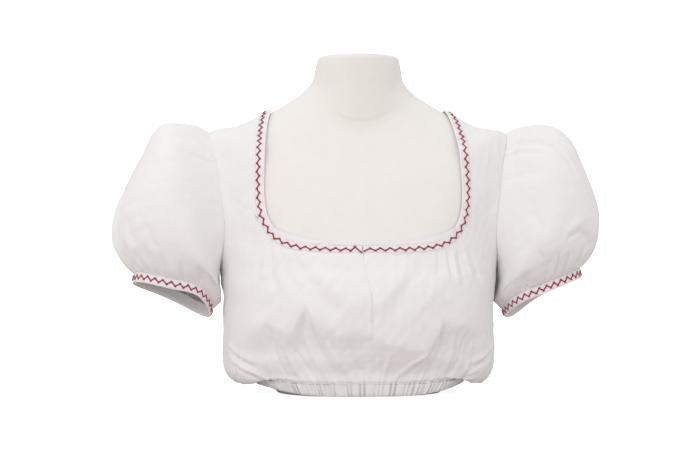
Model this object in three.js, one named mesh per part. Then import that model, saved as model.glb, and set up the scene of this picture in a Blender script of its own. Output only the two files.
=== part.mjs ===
// A cropped summer blouse, worn by a limbless bust form that stands on its flat base.
// The blouse has a wide square neckline, short puff sleeves gathered at head and cuff, a slit at the
// centre front, and an elastic casing at the hem, over which the body blouses.
// Millimetres. X runs across the shoulders, the chest faces -Y and Z is up. The origin is the middle of
// the base. "Left" and "right" are the wearer's, so the left side is +X.
import * as THREE from "three";

// Cloth and seams
const CLOTH = 1.2; // wall of the single cotton layers
const BAND = 1.5; // wall of the folded neckband and cuffs
const CASING = 2; // wall of the hem casing, two layers round an elastic
const SEAM_GAP = 0.5; // clear space between pieces that are sewn together
const BAND_LIFT = 0.9; // clear space under a band that lies on a panel

// Neckline and slit
const NECKBAND_WIDTH = 13;
const SLIT_TOP_X = -5; // the slit leans to the wearer's left on its way down
const SLIT_FOOT_X = 6;
const SLIT_FOOT_Z = 96; // below it the two fronts meet in a plain seam
const SLIT_GAPE = 1.9; // half the widest gape
const SLIT_GAPE_Z = 108;

// Gathers, cuffs and armholes
const CASING_RUCHES = 96;
const CUFF_GATHERS = 18;
const CUFF_GATHER_HEIGHT = 2.6;
const HEAD_GATHERS = 16; // to the full turn; they fade towards the underarm
const HEAD_GATHER_HEIGHT = 2.4;
const RUCHE_HEIGHT = 0.9; // a ruche of the casing
const ARMHOLE_FRONT = 22; // degrees that the armhole reaches round from the side, to front and back
const ARMHOLE_RISE = 3; // how far panel and sleeve rise together to their seam
const ARMHOLE_RISE_WIDTH = 9;
const MM_PER_DEGREE = 2.9; // round the body
const SHOULDER_TURN = 16; // degrees from the shoulder seam over which the neckband turns to meet it

// Level rings of the bust form, from its base to the top of its neck, and how far the cloth stands off
// each. A ring's heights are at front, side and back, and so are its eases and its lifts, which raise the
// cloth or let it hang. Its reaches are to the side, front and back of the middle. mid is how far back its
// widest place lies, square fills out its corners, and hug keeps the side's ease from spreading forward.
const RINGS = [
  // the base and the ribs, where the blousing cloth overhangs its casing at the sides
  ring([0, 0, 0], [110, 94, 82], 0, 0.1, [12, 25, 14], [1, 11, 4], 0),
  ring([19, 19, 19], [125, 95, 85], 0, 0.1, [12.5, 20, 14.5], [-3, 2, 0], 0),
  ring([22, 22, 22], [127, 95.5, 86], 0, 0.1, [14, 23, 17], [-2, 3, 0], 0),
  ring([28, 28, 28], [130, 96.5, 87], 0, 0.1, [18.5, 35, 25], [0, -14.5, -4], 0),
  ring([44, 44, 44], [137, 99.5, 90], 0, 0.1, [28.5, 43, 33], [0, -15, -4], 0),
  ring([62, 62, 62], [142, 105, 92.5], 0, 0.1, [29, 41.5, 33], [0, -7, -2], 0),
  ring([90, 90, 90], [147, 120, 96], 0, 0.1, [17.5, 35, 28], [0, -2, 0], 0),
  ring([125, 125, 125], [153, 135.5, 101], 0, 0.11, [3.2, 29, 21], [0, 0, 0], 0.5),
  ring([150, 150, 150], [158, 131.2, 104.5], 1, 0.12, [3, 27, 16], [0, 0, 0], 1.5),
  // the underarm, and up the armholes
  ring([171, 168, 172], [162, 121.3, 107], 2, 0.14, [3.2, 25, 13], [0, 0, 0], 3),
  ring([197, 212, 228], [169, 109, 109.5], 3, 0.15, [4.2, 25, 9], [0, 0, 0], 6),
  ring([230, 262, 275], [177, 97.5, 110], 4, 0.16, [4.2, 25, 6], [0, 0, 0], 6),
  ring([262, 306, 312], [184, 85.5, 107.5], 6, 0.14, [4.2, 20, 5], [2, 2, 2], 6),
  // along the shoulders, from the tip to the neck
  ring([290, 338, 337], [185, 73.5, 101.5], 8, 0.1, [4, 16, 4], [10, 10, 10], 6),
  ring([313, 354, 354], [156, 62.5, 95], 11, 0.07, [4, 6, 4], [4, 4, 4], 4),
  ring([332, 376.5, 369], [116.5, 52.5, 89], 14, 0.05, [4, 2, 4], [3.4, 3.4, 3.4], 0),
  ring([345, 391, 384], [92, 45.5, 82.5], 15, 0.03, [4, 2, 4], [4, 4, 4], 0),
  // the neck, which is bare
  ring([358, 402, 397], [76, 42.5, 77], 15, 0.02, [4, 2, 4], [4, 4, 4], 0),
  ring([383, 418, 414], [62, 45, 69], 12, 0, [0, 0, 0], [0, 0, 0], 0),
  ring([420, 432, 430], [58.5, 49, 65.5], 8, 0, [0, 0, 0], [0, 0, 0], 0),
  ring([444, 445, 445], [55.5, 52, 61.5], 5, 0, [0, 0, 0], [0, 0, 0], 0),
  ring([450, 450, 450], [52.5, 49, 58], 5, 0, [0, 0, 0], [0, 0, 0], 0),
  ring([452, 452, 452], [45, 42, 51], 5, 0, [0, 0, 0], [0, 0, 0], 0),
];
const HEM_LEVEL = 0;
const CASING_TOP_LEVEL = 1;
const BODY_FOOT_LEVEL = 1.1; // just clear of the casing
const UNDERARM_LEVEL = 9;
const SHOULDER_TIP_LEVEL = 13;
const NECK_POINT_LEVEL = 15;

// The neckline's edge as seen from the front and from the back, from the middle to the shoulder.
const FRONT_NECKLINE = [
  { x: 0, z: 198 },
  { x: 55, z: 199 },
  { x: 92, z: 203 },
  { x: 113, z: 213 },
  { x: 126, z: 232 },
  { x: 131, z: 258 },
  { x: 131, z: 295 },
  { x: 128.5, z: 335 },
  { x: 123.5, z: 365 },
];
const BACK_NECKLINE = [
  { x: 0, z: 312 },
  { x: 60, z: 314 },
  { x: 94, z: 321 },
  { x: 113, z: 336 },
  { x: 120, z: 356 },
];

// Folds of the body. Each is a soft ridge, or a trough where its height is negative, that runs from one
// place to another. turn is in degrees from the centre front towards the wearer's left.
const BODY_FOLDS = [
  // gathers under the neckline's corners
  fold(-38, 196, -37, 150, 3.2, 2.2),
  fold(-34.5, 196, -32, 162, 3, -1.4),
  fold(-31, 196, -26, 148, 3.4, 2),
  fold(34, 196, 38, 158, 3, 2.2),
  fold(37.5, 198, 43, 146, 3, 2.4),
  fold(41, 202, 50, 152, 3.2, 2.2),
  fold(30, 196, 30, 160, 3, 1.8),
  // valleys and ridges that run down from the crest into the hem casing
  fold(-24.5, 112, -13, 24, 5, -2.6),
  fold(-42, 94, -37, 26, 5, -2.2),
  fold(-8, 74, -3, 24, 5, -2),
  fold(25, 60, 13, 24, 6, 2.2),
  fold(32, 92, 29, 30, 5, -2.4),
  fold(46, 80, 44, 26, 6, 2),
  fold(-77, 68, -51, 38, 6, 2.4),
  fold(76, 66, 53, 38, 6, 2.2),
  // the same on the back
  fold(122, 94, 127, 24, 6, -2.4),
  fold(146, 106, 141, 24, 6, -2.6),
  fold(163, 88, 166, 24, 6, -2.2),
  fold(180, 92, 178, 24, 6, -2.4),
  fold(-163, 84, -161, 24, 6, -2.2),
  fold(-146, 102, -142, 24, 6, -2.6),
  fold(-120, 92, -126, 24, 6, -2.4),
  // slack down the back, from the shoulder blades
  fold(140, 250, 150, 150, 16, 2.5),
  fold(-140, 240, -152, 140, 16, 2.5),
];

// The crest round the body by turn: above it the cloth hangs straight, and below it turns in to the casing.
const CREST = [
  [-92, 70], [-78, 66], [-59, 73], [-50, 82], [-42, 98], [-33, 85], [-25, 114], [-19, 95], [-11, 81],
  [1, 82], [8, 67], [20, 61], [31, 98], [42, 91], [57, 80], [71, 65], [84, 66], [100, 74], [112, 80],
  [122, 97], [129, 83], [146, 110], [155, 88], [163, 91], [171, 78], [180, 95], [188, 79], [197, 88],
  [206, 81], [214, 105], [231, 84], [240, 96], [249, 76], [268, 70],
];
const CREST_FOOT_Z = 21;
const CREST_SOFTNESS = 2.6; // over which the cloth bends at the crest
const CREST_SLOPE = 0.62; // how far the cloth turns in for each millimetre under the crest
const CREST_CURVE = 0.8;

// Sections of a sleeve, from the armhole to the cuff. over is the section's outermost place and under its
// innermost, as seen from the front; front and back are its reach from the middle plane.
const SLEEVE = [
  section([201, 350], [187.5, 168], 50, 52),
  section([218, 358.5], [187.4, 160], 56, 60),
  section([240, 361], [187, 152], 65, 70),
  section([262, 358], [186.3, 145], 75, 79),
  section([282, 341], [185.6, 139], 83, 84),
  section([298, 310], [185, 134], 88, 87),
  section([314, 275], [184.4, 129.5], 88, 87),
  section([326.5, 241], [184.2, 125.5], 84, 82),
  section([327.5, 208], [185, 121.5], 76, 75),
  section([318, 182], [189, 117.5], 65, 65),
  section([301.5, 164.5], [195.5, 112.5], 54, 54),
];
const SLEEVE_FILL = 0.06; // how much squarer than an ellipse a section is
const CUFF_HEIGHT = 13;
const CUFF_FLARE = 0.975; // the cuff's lower edge to its upper edge
const CUFF_WAVE = { top: 0.8, foot: 0.3 }; // height of the gathers that reach into the cuff
const CUFF_LEAN = 0.55; // how much of the sleeve end's outward slant the cuff keeps
// The two sleeves differ a little: how far the puff is fuller, how far the cuff's outer end hangs lower,
// how far its front edge tips up, how far it arches at front and back, and how far near the body its front
// edge is scooped up and its back edge sags.
const SLEEVE_SIDES = {
  left: { puff: 6, hang: 0, tip: 5.5, arch: 2.5, scoop: 6, sag: 8 },
  right: { puff: -3, hang: 6, tip: 8, arch: 6, scoop: 13, sag: 2 },
};

// Grid sizes
const CASING_STEPS = CASING_RUCHES * 3;
const SLEEVE_STEPS = CUFF_GATHERS * 3;
const SLEEVE_ROWS = 11;
const FORM_STEPS = 36;
const FORM_ROWS = 24;
const BODY_ROWS = 11; // from the casing to the neckline and underarm
const YOKE_ROWS = 10; // from there to the shoulder seam
const FRONT_COLUMNS = 22;
const BACK_COLUMNS = 13;
const BAND_STEPS = 26;
const NECKLINE_STEPS = 120;

// Colours of the cloth and the form
const WHITE_COTTON = { color: 0xf1f0f2, roughness: 0.8, metalness: 0 };
const CREAM_JERSEY = { color: 0xf0ece7, roughness: 0.75, metalness: 0 };

function ring(heights, reaches, mid, square, eases, lifts, hug) {
  const [zFront, zSide, zBack] = heights;
  const [half, front, back] = reaches;
  const [easeFront, easeSide, easeBack] = eases;
  const [liftFront, liftSide, liftBack] = lifts;
  return {
    ...{ zFront, zSide, zBack, half, front, back, mid, square, hug },
    ...{ easeFront, easeSide, easeBack, liftFront, liftSide, liftBack },
  };
}

function fold(fromTurn, fromZ, toTurn, toZ, width, height) {
  return { fromTurn, fromZ, toTurn, toZ, width, height };
}

function section(over, under, front, back) {
  return { overX: over[0], overZ: over[1], underX: under[0], underZ: under[1], front, back };
}

const { MathUtils } = THREE;
const radians = (degrees) => (degrees * Math.PI) / 180;
const mix = (a, b, share) => a + (b - a) * share;
const smooth = (low, high, value) => MathUtils.smoothstep(value, low, high);
const bump = (offset) => Math.exp(-offset * offset);

// Reads a table at a place between its rows, along a smooth curve through them.
function between(rows, place) {
  const at = Math.min(Math.max(place, 0), rows.length - 1);
  const i = Math.min(Math.floor(at), rows.length - 2);
  const t = at - i;
  const before = rows[Math.max(i - 1, 0)];
  const after = rows[Math.min(i + 2, rows.length - 1)];
  const read = {};
  for (const key of Object.keys(rows[i])) {
    const [p0, p1, p2, p3] = [before[key], rows[i][key], rows[i + 1][key], after[key]];
    const a = 2 * p1;
    const b = p2 - p0;
    const c = 2 * p0 - 5 * p1 + 4 * p2 - p3;
    const d = 3 * p1 - p0 - 3 * p2 + p3;
    read[key] = 0.5 * (a + b * t + c * t * t + d * t * t * t);
  }
  return read;
}

// A place on the form (worn = 0) or on the smooth cloth over it (worn = 1).
function onBody(turn, level, worn) {
  const r = between(RINGS, level);
  const s = Math.sin(radians(turn));
  const c = Math.cos(radians(turn));
  const facing = c > 0;
  const half = r.half + worn * r.easeSide * Math.pow(Math.abs(s), Math.max(r.hug, 0));
  const reach = facing ? r.front + r.mid + worn * r.easeFront : r.back - r.mid + worn * r.easeBack;
  const z = mix(r.zSide, facing ? r.zFront : r.zBack, c * c);
  // the sides hang over a narrower stretch above the casing than at the hem
  const spread = smooth(CASING_TOP_LEVEL + 1, CASING_TOP_LEVEL + 2, level);
  const hanging = smooth(mix(-0.05, 0.15, spread), mix(0.95, 0.6, spread), c * c);
  const lift = mix(r.liftSide, facing ? r.liftFront : r.liftBack, hanging);
  const x = half * s * (1 + r.square * c * c);
  const y = r.mid - reach * c * (1 + r.square * s * s);
  return new THREE.Vector3(x, y, z + worn * lift);
}

// How far the folds lift the cloth at a place.
function foldHeight(turn, z) {
  let height = 0;
  for (const f of BODY_FOLDS) {
    const along = new THREE.Vector2((f.toTurn - f.fromTurn) * MM_PER_DEGREE, f.toZ - f.fromZ);
    const here = new THREE.Vector2((turn - f.fromTurn) * MM_PER_DEGREE, z - f.fromZ);
    const share = here.dot(along) / along.lengthSq();
    const aside = Math.abs(here.cross(along)) / along.length();
    const ends = smooth(-0.05, 0.3, share) * (1 - smooth(0.9, 1.12, share));
    height += f.height * bump(aside / f.width) * ends;
  }
  return height;
}

// How far the cloth under the crest lies inside the smooth cloth.
function turnedIn(turn, z) {
  const at = MathUtils.euclideanModulo(turn + 90, 360) - 90;
  const i = Math.max(1, CREST.findIndex(([next]) => next >= at));
  const [[turn0, z0], [turn1, z1]] = [CREST[i - 1], CREST[i]];
  const crest = mix(z0, z1, (at - turn0) / (turn1 - turn0));
  const under = CREST_SOFTNESS * Math.log1p(Math.exp((crest - z) / CREST_SOFTNESS));
  const share = MathUtils.clamp((z - CREST_FOOT_Z) / (crest - CREST_FOOT_Z), 0, 1);
  const facing = smooth(0.12, 0.5, Math.cos(radians(turn)) ** 2);
  return CREST_SLOPE * under * Math.pow(share, CREST_CURVE) * facing;
}

function clothNormal(turn, level) {
  const step = 0.02;
  const round = onBody(turn + step, level, 1).sub(onBody(turn - step, level, 1));
  const up = onBody(turn, level + step, 1).sub(onBody(turn, level - step, 1));
  return round.cross(up).normalize();
}

// A place on the cloth, folds and all, raised by some distance. It stays clear of the form.
function onCloth(turn, level, raise = 0) {
  const place = onBody(turn, level, 1);
  const above = smooth(CASING_TOP_LEVEL - 0.2, CASING_TOP_LEVEL + 2, level);
  const height = (foldHeight(turn, place.z) - turnedIn(turn, place.z)) * above + seamRise(place);
  const room = place.distanceTo(onBody(turn, level, 0));
  const clear = Math.max(height, CLOTH + SEAM_GAP - room);
  return place.addScaledVector(clothNormal(turn, level), clear + raise);
}

// The turn and level of the cloth that shows at x and z from the front, or from the back.
function locate(x, z, fromBack) {
  const turnAt = (level) => {
    let [low, high] = [0, 90];
    for (let i = 0; i < 40; i++) {
      const middle = (low + high) / 2;
      if (onBody(fromBack ? 180 - middle : middle, level, 1).x < x) low = middle;
      else high = middle;
    }
    return fromBack ? 180 - low : low;
  };
  let [low, high] = [CASING_TOP_LEVEL, NECK_POINT_LEVEL];
  for (let i = 0; i < 40; i++) {
    const middle = (low + high) / 2;
    if (onBody(turnAt(middle), middle, 1).z < z) low = middle;
    else high = middle;
  }
  return { turn: turnAt(low), level: low };
}

// The neckline from the middle (share 0) to the neck end of the shoulder seam (share 1), by its length.
function necklinePath(outline, fromBack) {
  const marks = [...outline, onBody(90, NECK_POINT_LEVEL, 1)].map(({ x, z }) => new THREE.Vector3(x, 0, z));
  const curve = new THREE.CatmullRomCurve3(marks, false, "centripetal");
  const places = curve.getSpacedPoints(NECKLINE_STEPS).map(({ x, z }) => locate(x, z, fromBack));
  places[NECKLINE_STEPS] = { turn: 90, level: NECK_POINT_LEVEL };
  const runs = [0];
  for (let i = 1; i <= NECKLINE_STEPS; i++) {
    const [before, after] = [places[i - 1], places[i]].map(({ turn, level }) => onBody(turn, level, 1));
    runs.push(runs[i - 1] + before.distanceTo(after));
  }
  return (share) => {
    const run = share * runs[NECKLINE_STEPS];
    const i = Math.max(1, runs.findIndex((length) => length >= run - 1e-9));
    const part = (run - runs[i - 1]) / (runs[i] - runs[i - 1]);
    return {
      turn: mix(places[i - 1].turn, places[i].turn, part),
      level: mix(places[i - 1].level, places[i].level, part),
    };
  };
}
const frontNeckline = necklinePath(FRONT_NECKLINE, false);
const backNeckline = necklinePath(BACK_NECKLINE, true);

// The armhole, by its angle seen from the side: 0 at the shoulder tip, 90 at the front, 180 underarm.
function armhole(angle) {
  const drop = (1 - Math.cos(radians(angle))) / 2;
  return {
    turn: 90 - ARMHOLE_FRONT * Math.sin(radians(angle)),
    level: mix(SHOULDER_TIP_LEVEL, UNDERARM_LEVEL, drop),
  };
}

// How far panel and sleeve rise together at the armhole's seam, by its angle.
const riseAt = (angle) => ARMHOLE_RISE * Math.sin(radians(angle)) ** 2;
const armholeLine = Array.from({ length: 121 }, (_, i) => {
  const angle = 3 * i - 180;
  const { turn, level } = armhole(angle);
  return { angle, place: onBody(turn, level, 1) };
});

// The same for a place on a panel, which falls off with the distance from the seam.
function seamRise(place) {
  const here = place.clone().setX(Math.abs(place.x));
  let nearest = armholeLine[0];
  for (const point of armholeLine)
    if (point.place.distanceToSquared(here) < nearest.place.distanceToSquared(here)) nearest = point;
  return riseAt(nearest.angle) * bump(nearest.place.distanceTo(here) / ARMHOLE_RISE_WIDTH);
}

// Moves a place on the cloth sideways by a distance in millimetres, away from the side or shoulder seam.
function inFromSeam(place, distance, sign) {
  return { turn: place.turn + (sign * distance) / MM_PER_DEGREE, level: place.level };
}

// The slit's edges: where it runs at a height, and half its width there.
const slitX = (z) => mix(SLIT_FOOT_X, SLIT_TOP_X, smooth(SLIT_GAPE_Z, 198, z));
function slitHalf(z) {
  const gape = SLIT_GAPE * bump((z - SLIT_GAPE_Z) / 15) * smooth(SLIT_FOOT_Z - 4, SLIT_FOOT_Z + 6, z);
  return SEAM_GAP / 2 + gape + 0.5 * smooth(182, 194, z);
}
function centreTurn(level, side) {
  const z = onBody(0, level, 1).z;
  const x = slitX(z) + side * slitHalf(z);
  // close to the middle the cloth runs straight across
  return x / onBody(1, level, 1).x;
}

// Closes a patch of cloth into a wall. Each point has an outer and an inner place.
function wall(name, finish, points, faces) {
  const count = points.length;
  const position = new Float32Array(count * 6);
  points.forEach(({ outer, inner }, i) => {
    outer.toArray(position, i * 3);
    inner.toArray(position, (count + i) * 3);
  });
  const edges = new Set(faces.flatMap(([a, b, c]) => [`${a}_${b}`, `${b}_${c}`, `${c}_${a}`]));
  const index = [];
  for (const [a, b, c] of faces) {
    index.push(a, b, c, count + a, count + c, count + b);
    for (const [from, to] of [[a, b], [b, c], [c, a]])
      if (!edges.has(`${to}_${from}`))
        index.push(to, from, count + from, to, count + from, count + to);
  }
  const geometry = new THREE.BufferGeometry();
  geometry.setAttribute("position", new THREE.BufferAttribute(position, 3));
  geometry.setIndex(index);
  geometry.computeVertexNormals();
  const mesh = new THREE.Mesh(geometry, new THREE.MeshStandardMaterial(finish));
  mesh.name = name;
  return mesh;
}

// The faces of a grid of points, row by row. A closed grid joins its last column to its first.
function gridFaces(rows, columns, closed = false, flip = false, first = 0) {
  const faces = [];
  for (let r = 0; r + 1 < rows; r++)
    for (let c = 0; c + (closed ? 0 : 1) < columns; c++) {
      const next = (c + 1) % columns;
      const [a, b] = [first + r * columns + c, first + r * columns + next];
      const [d, e] = [a + columns, b + columns];
      if (flip) faces.push([a, e, b], [a, d, e]);
      else faces.push([a, b, e], [a, e, d]);
    }
  return faces;
}

// A point of a body panel, with the wall's thickness inside it.
function panelPoint({ turn, level }) {
  const outer = onCloth(turn, level);
  const inner = outer.clone().addScaledVector(clothNormal(turn, level), -CLOTH);
  return { outer, inner };
}

// The rows of half a front or back. Each row runs from the middle or neckline out to the side or armhole.
function halfPanel(columns, inner, outer) {
  const rows = [];
  for (let r = 0; r <= BODY_ROWS + YOKE_ROWS; r++) {
    const row = [];
    for (let c = 0; c < columns; c++) {
      const share = c / (columns - 1);
      const [from, to] = [inner(r), outer(r)];
      row.push({ turn: mix(from.turn, to.turn, share), level: mix(from.level, to.level, share) });
    }
    rows.push(row);
  }
  return rows;
}

// Rows crowd towards the casing, where the cloth turns in sharply.
const bodyLevel = (row, top) => mix(BODY_FOOT_LEVEL, top, Math.pow(row / BODY_ROWS, 1.15));
const yokeShare = (row) => (row - BODY_ROWS) / YOKE_ROWS;

// The outer edge of a half panel: up the side seam, then round the armhole. towards is the turn's sign
// away from the side seam.
function outerEdge(row, towards) {
  if (row <= BODY_ROWS) {
    return inFromSeam({ turn: 90, level: bodyLevel(row, UNDERARM_LEVEL) }, SEAM_GAP / 2, towards);
  }
  const angle = 180 * (1 - yokeShare(row));
  const edge = armhole(towards < 0 ? angle : -angle);
  return inFromSeam(edge, SEAM_GAP, towards);
}

function frontPanel(name, side) {
  const waist = frontNeckline(0).level;
  const rows = halfPanel(
    FRONT_COLUMNS,
    (row) => {
      const level = bodyLevel(row, waist);
      if (row <= BODY_ROWS) return { turn: side * centreTurn(level, side), level };
      const along = yokeShare(row);
      const place = frontNeckline(along);
      return inFromSeam(place, SEAM_GAP * along, -1);
    },
    (row) => outerEdge(row, -1),
  );
  const points = rows.flat().map(({ turn, level }) => panelPoint({ turn: side * turn, level }));
  return wall(name, WHITE_COTTON, points, gridFaces(rows.length, FRONT_COLUMNS, false, side < 0));
}

// The back is one piece, so its two halves share the line down its middle.
function backPanel() {
  const waist = backNeckline(0).level;
  const rows = halfPanel(
    BACK_COLUMNS,
    (row) => {
      if (row <= BODY_ROWS) return { turn: 180, level: bodyLevel(row, waist) };
      const place = backNeckline(yokeShare(row));
      return inFromSeam(place, SEAM_GAP * yokeShare(row), 1);
    },
    (row) => outerEdge(row, 1),
  );
  const places = rows.flat();
  const left = places.map((place) => panelPoint(place));
  const right = places.map(({ turn, level }) => panelPoint({ turn: -turn, level }));
  const count = left.length;
  const onMiddle = (i) => i % BACK_COLUMNS === 0 && i / BACK_COLUMNS <= BODY_ROWS;
  const joined = gridFaces(rows.length, BACK_COLUMNS, false, false, count).map((face) =>
    face.map((i) => (onMiddle(i - count) ? i - count : i)),
  );
  const faces = [...gridFaces(rows.length, BACK_COLUMNS, false, true), ...joined];
  return wall("back", WHITE_COTTON, ...used([...left, ...right], faces));
}

// Drops the points that no face uses.
function used(points, faces) {
  const keep = [...new Set(faces.flat())].sort((a, b) => a - b);
  const place = new Map(keep.map((old, i) => [old, i]));
  return [keep.map((i) => points[i]), faces.map((face) => face.map((i) => place.get(i)))];
}

// How the smooth cloth runs at a place: by the degree round the body, and by the level up it.
function slopes(turn, level) {
  const step = 0.01;
  const here = onBody(turn, level, 1);
  const round = onBody(turn + step, level, 1).sub(here).divideScalar(step);
  const up = onBody(turn, level + step, 1).sub(here).divideScalar(step);
  return { round, up };
}

// Walks a distance over the cloth, in a direction in space.
function walk(turn, level, direction, distance) {
  const strides = 4;
  for (let i = 0; i < strides; i++) {
    const { round, up } = slopes(turn, level);
    const [rr, ru, uu] = [round.dot(round), round.dot(up), up.dot(up)];
    const [rd, ud] = [round.dot(direction), up.dot(direction)];
    const scale = distance / strides / (rr * uu - ru * ru);
    turn += (rd * uu - ud * ru) * scale;
    level += (ud * rr - rd * ru) * scale;
  }
  return { turn, level };
}

// A band that lies on the cloth along part of the neckline.
function neckband(name, places, side) {
  const points = [];
  places.forEach((place, i) => {
    const before = places[Math.max(i - 1, 0)];
    const after = places[Math.min(i + 1, places.length - 1)];
    const run = onBody(side * after.turn, after.level, 1).sub(onBody(side * before.turn, before.level, 1));
    const away = clothNormal(side * place.turn, place.level).cross(run).normalize().multiplyScalar(-side);
    // at the shoulder the band ends along the seam
    const fromSeam = Math.abs(90 - Math.min(place.turn, 360 - place.turn));
    const { up } = slopes(side * place.turn, place.level);
    away.lerp(up.normalize().negate(), 1 - smooth(0, SHOULDER_TURN, fromSeam)).normalize();
    for (const across of [0, 0.5, 1]) {
      const { turn, level } = walk(side * place.turn, place.level, away, across * NECKBAND_WIDTH);
      const inner = onCloth(turn, level, BAND_LIFT);
      const outer = onCloth(turn, level, BAND_LIFT + BAND);
      points.push({ outer, inner });
    }
  });
  return wall(name, WHITE_COTTON, points, gridFaces(places.length, 3, false, side < 0));
}

// Places along a neckline, kept clear of the shoulder seam. towards is the turn's sign away from it.
const alongNeckline = (path, from, towards, steps) =>
  Array.from({ length: steps + 1 }, (_, i) => {
    const share = mix(from, 1, i / steps);
    return inFromSeam(path(share), SEAM_GAP * share, towards);
  });

function frontNeckband(name, side) {
  const slit = { turn: side * centreTurn(frontNeckline(0).level, side), level: frontNeckline(0).level };
  const places = alongNeckline(frontNeckline, 0, -1, BAND_STEPS);
  places[0] = slit;
  if (places[1].turn < slit.turn + 1) places.splice(1, 1);
  return neckband(name, places, side);
}

function hemCasing() {
  const points = [];
  for (const level of [HEM_LEVEL, CASING_TOP_LEVEL])
    for (let i = 0; i < CASING_STEPS; i++) {
      const turn = (360 * i) / CASING_STEPS;
      const place = onBody(turn, level, 1);
      const normal = clothNormal(turn, 0.5).setZ(0).normalize();
      const ruche = RUCHE_HEIGHT * (i % 3 === 0 ? 1 : 0.15);
      const inner = place.clone().addScaledVector(normal, -CASING);
      points.push({ outer: place.addScaledVector(normal, ruche), inner });
    }
  return wall("hem_casing", WHITE_COTTON, points, gridFaces(2, CASING_STEPS, true));
}

// A place on the sleeve: along is 0 at the armhole and 1 at the cuff's seam.
function onSleeve(along, angle, side) {
  const s = between(SLEEVE, along * (SLEEVE.length - 1));
  const [sine, cosine] = [Math.sin(radians(angle)), Math.cos(radians(angle))];
  const share = (1 + cosine * (1 + SLEEVE_FILL * sine * sine)) / 2;
  const aside = sine * (1 + SLEEVE_FILL * cosine * cosine);
  const inSection = ({ overX, overZ, underX, underZ, front, back }) => {
    const y = -(sine > 0 ? front : back) * aside;
    return new THREE.Vector3(mix(underX, overX, share), y, mix(underZ, overZ, share));
  };
  const place = inSection(s);
  // the first section takes the armhole's own shape
  const edge = armhole(angle);
  const seam = onBody(edge.turn, edge.level, 1);
  seam.addScaledVector(clothNormal(edge.turn, edge.level), riseAt(angle));
  seam.x += SEAM_GAP;
  place.addScaledVector(seam.sub(inSection(SLEEVE[0])), 1 - smooth(0, 0.3, along));
  const { puff, hang, tip, arch, scoop, sag } = SLEEVE_SIDES[side];
  const signed = angle > 180 ? angle - 360 : angle;
  const scooped = scoop * bump((signed - 132) / 36) * (1 - smooth(160, 180, signed));
  const drawn = scooped - sag * bump((signed + 128) / 30);
  place.x += puff * share * bump((along - 0.42) / 0.2);
  place.z -= hang * share * smooth(0.5, 0.95, along);
  place.z += (arch * sine * sine - (tip * place.y) / s.front + drawn) * smooth(0.4, 0.82, along);
  return place;
}

// The middle of the sleeve's lower end, and the direction straight out of it.
function sleeveEnd(side) {
  const over = onSleeve(1, 0, side);
  const under = onSleeve(1, 180, side);
  const across = over.clone().sub(under);
  const forward = onSleeve(1, 90, side).sub(onSleeve(1, 270, side));
  return { middle: over.add(under).multiplyScalar(0.5), down: across.cross(forward).normalize() };
}

function sleeveNormal(along, angle, side) {
  const step = 0.004;
  const near = Math.min(Math.max(along, step), 1 - step);
  const out = onSleeve(near + step, angle, side).sub(onSleeve(near - step, angle, side));
  const round = onSleeve(near, angle + 1, side).sub(onSleeve(near, angle - 1, side));
  const normal = round.cross(out).normalize();
  if (along < 1) return normal;
  // the end is cut square, so that the cuff meets it face to face
  const { down } = sleeveEnd(side);
  return normal.addScaledVector(down, -normal.dot(down)).normalize();
}

// Gathers at the head and at the cuff, each a wave that dies out along the sleeve.
function sleeveGather(along, angle) {
  const top = Math.max(0, Math.cos(radians(angle * 0.9)));
  const head = Math.cos(radians(angle) * HEAD_GATHERS) * top * smooth(0, 0.07, along);
  const cuff = Math.cos(radians(angle) * CUFF_GATHERS);
  const uneven = 0.75 + 0.25 * Math.sin(radians(angle * 3 + 40));
  return (
    HEAD_GATHER_HEIGHT * head * (1 - smooth(0.1, 0.42, along)) +
    CUFF_GATHER_HEIGHT * cuff * uneven * smooth(0.5, 0.9, along) * (1 - 0.7 * smooth(0.92, 1, along))
  );
}

// Mirrors a wearer's-left place for the right side.
const placed = (place, side) => (side === "right" ? place.setX(-place.x) : place);

function sleeve(name, side) {
  const points = [];
  for (let r = 0; r <= SLEEVE_ROWS; r++) {
    const along = r / SLEEVE_ROWS;
    for (let i = 0; i < SLEEVE_STEPS; i++) {
      const angle = (360 * i) / SLEEVE_STEPS;
      const signed = angle > 180 ? angle - 360 : angle;
      const normal = sleeveNormal(along, angle, side);
      const outer = onSleeve(along, angle, side).addScaledVector(normal, sleeveGather(along, signed));
      const inner = outer.clone().addScaledVector(normal, -CLOTH);
      points.push({ outer: placed(outer, side), inner: placed(inner, side) });
    }
  }
  return wall(name, WHITE_COTTON, points, gridFaces(SLEEVE_ROWS + 1, SLEEVE_STEPS, true, side === "right"));
}

function cuff(name, side) {
  const { middle, down } = sleeveEnd(side);
  down.setX(down.x * CUFF_LEAN).normalize();
  const points = [];
  for (const drop of [0, 1])
    for (let i = 0; i < SLEEVE_STEPS; i++) {
      const angle = (360 * i) / SLEEVE_STEPS;
      const place = onSleeve(1, angle, side);
      const spread = mix(1, CUFF_FLARE, drop);
      place.sub(middle).multiplyScalar(spread).add(middle);
      place.addScaledVector(down, SEAM_GAP + drop * CUFF_HEIGHT);
      const normal = sleeveNormal(1, angle, side);
      const wave = mix(CUFF_WAVE.top, CUFF_WAVE.foot, drop) * Math.cos(radians(angle) * CUFF_GATHERS + 0.3);
      const inner = place.clone().addScaledVector(normal, -BAND);
      const outer = place.addScaledVector(normal, wave);
      points.push({ outer: placed(outer, side), inner: placed(inner, side) });
    }
  return wall(name, WHITE_COTTON, points, gridFaces(2, SLEEVE_STEPS, true, side === "right"));
}

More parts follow.
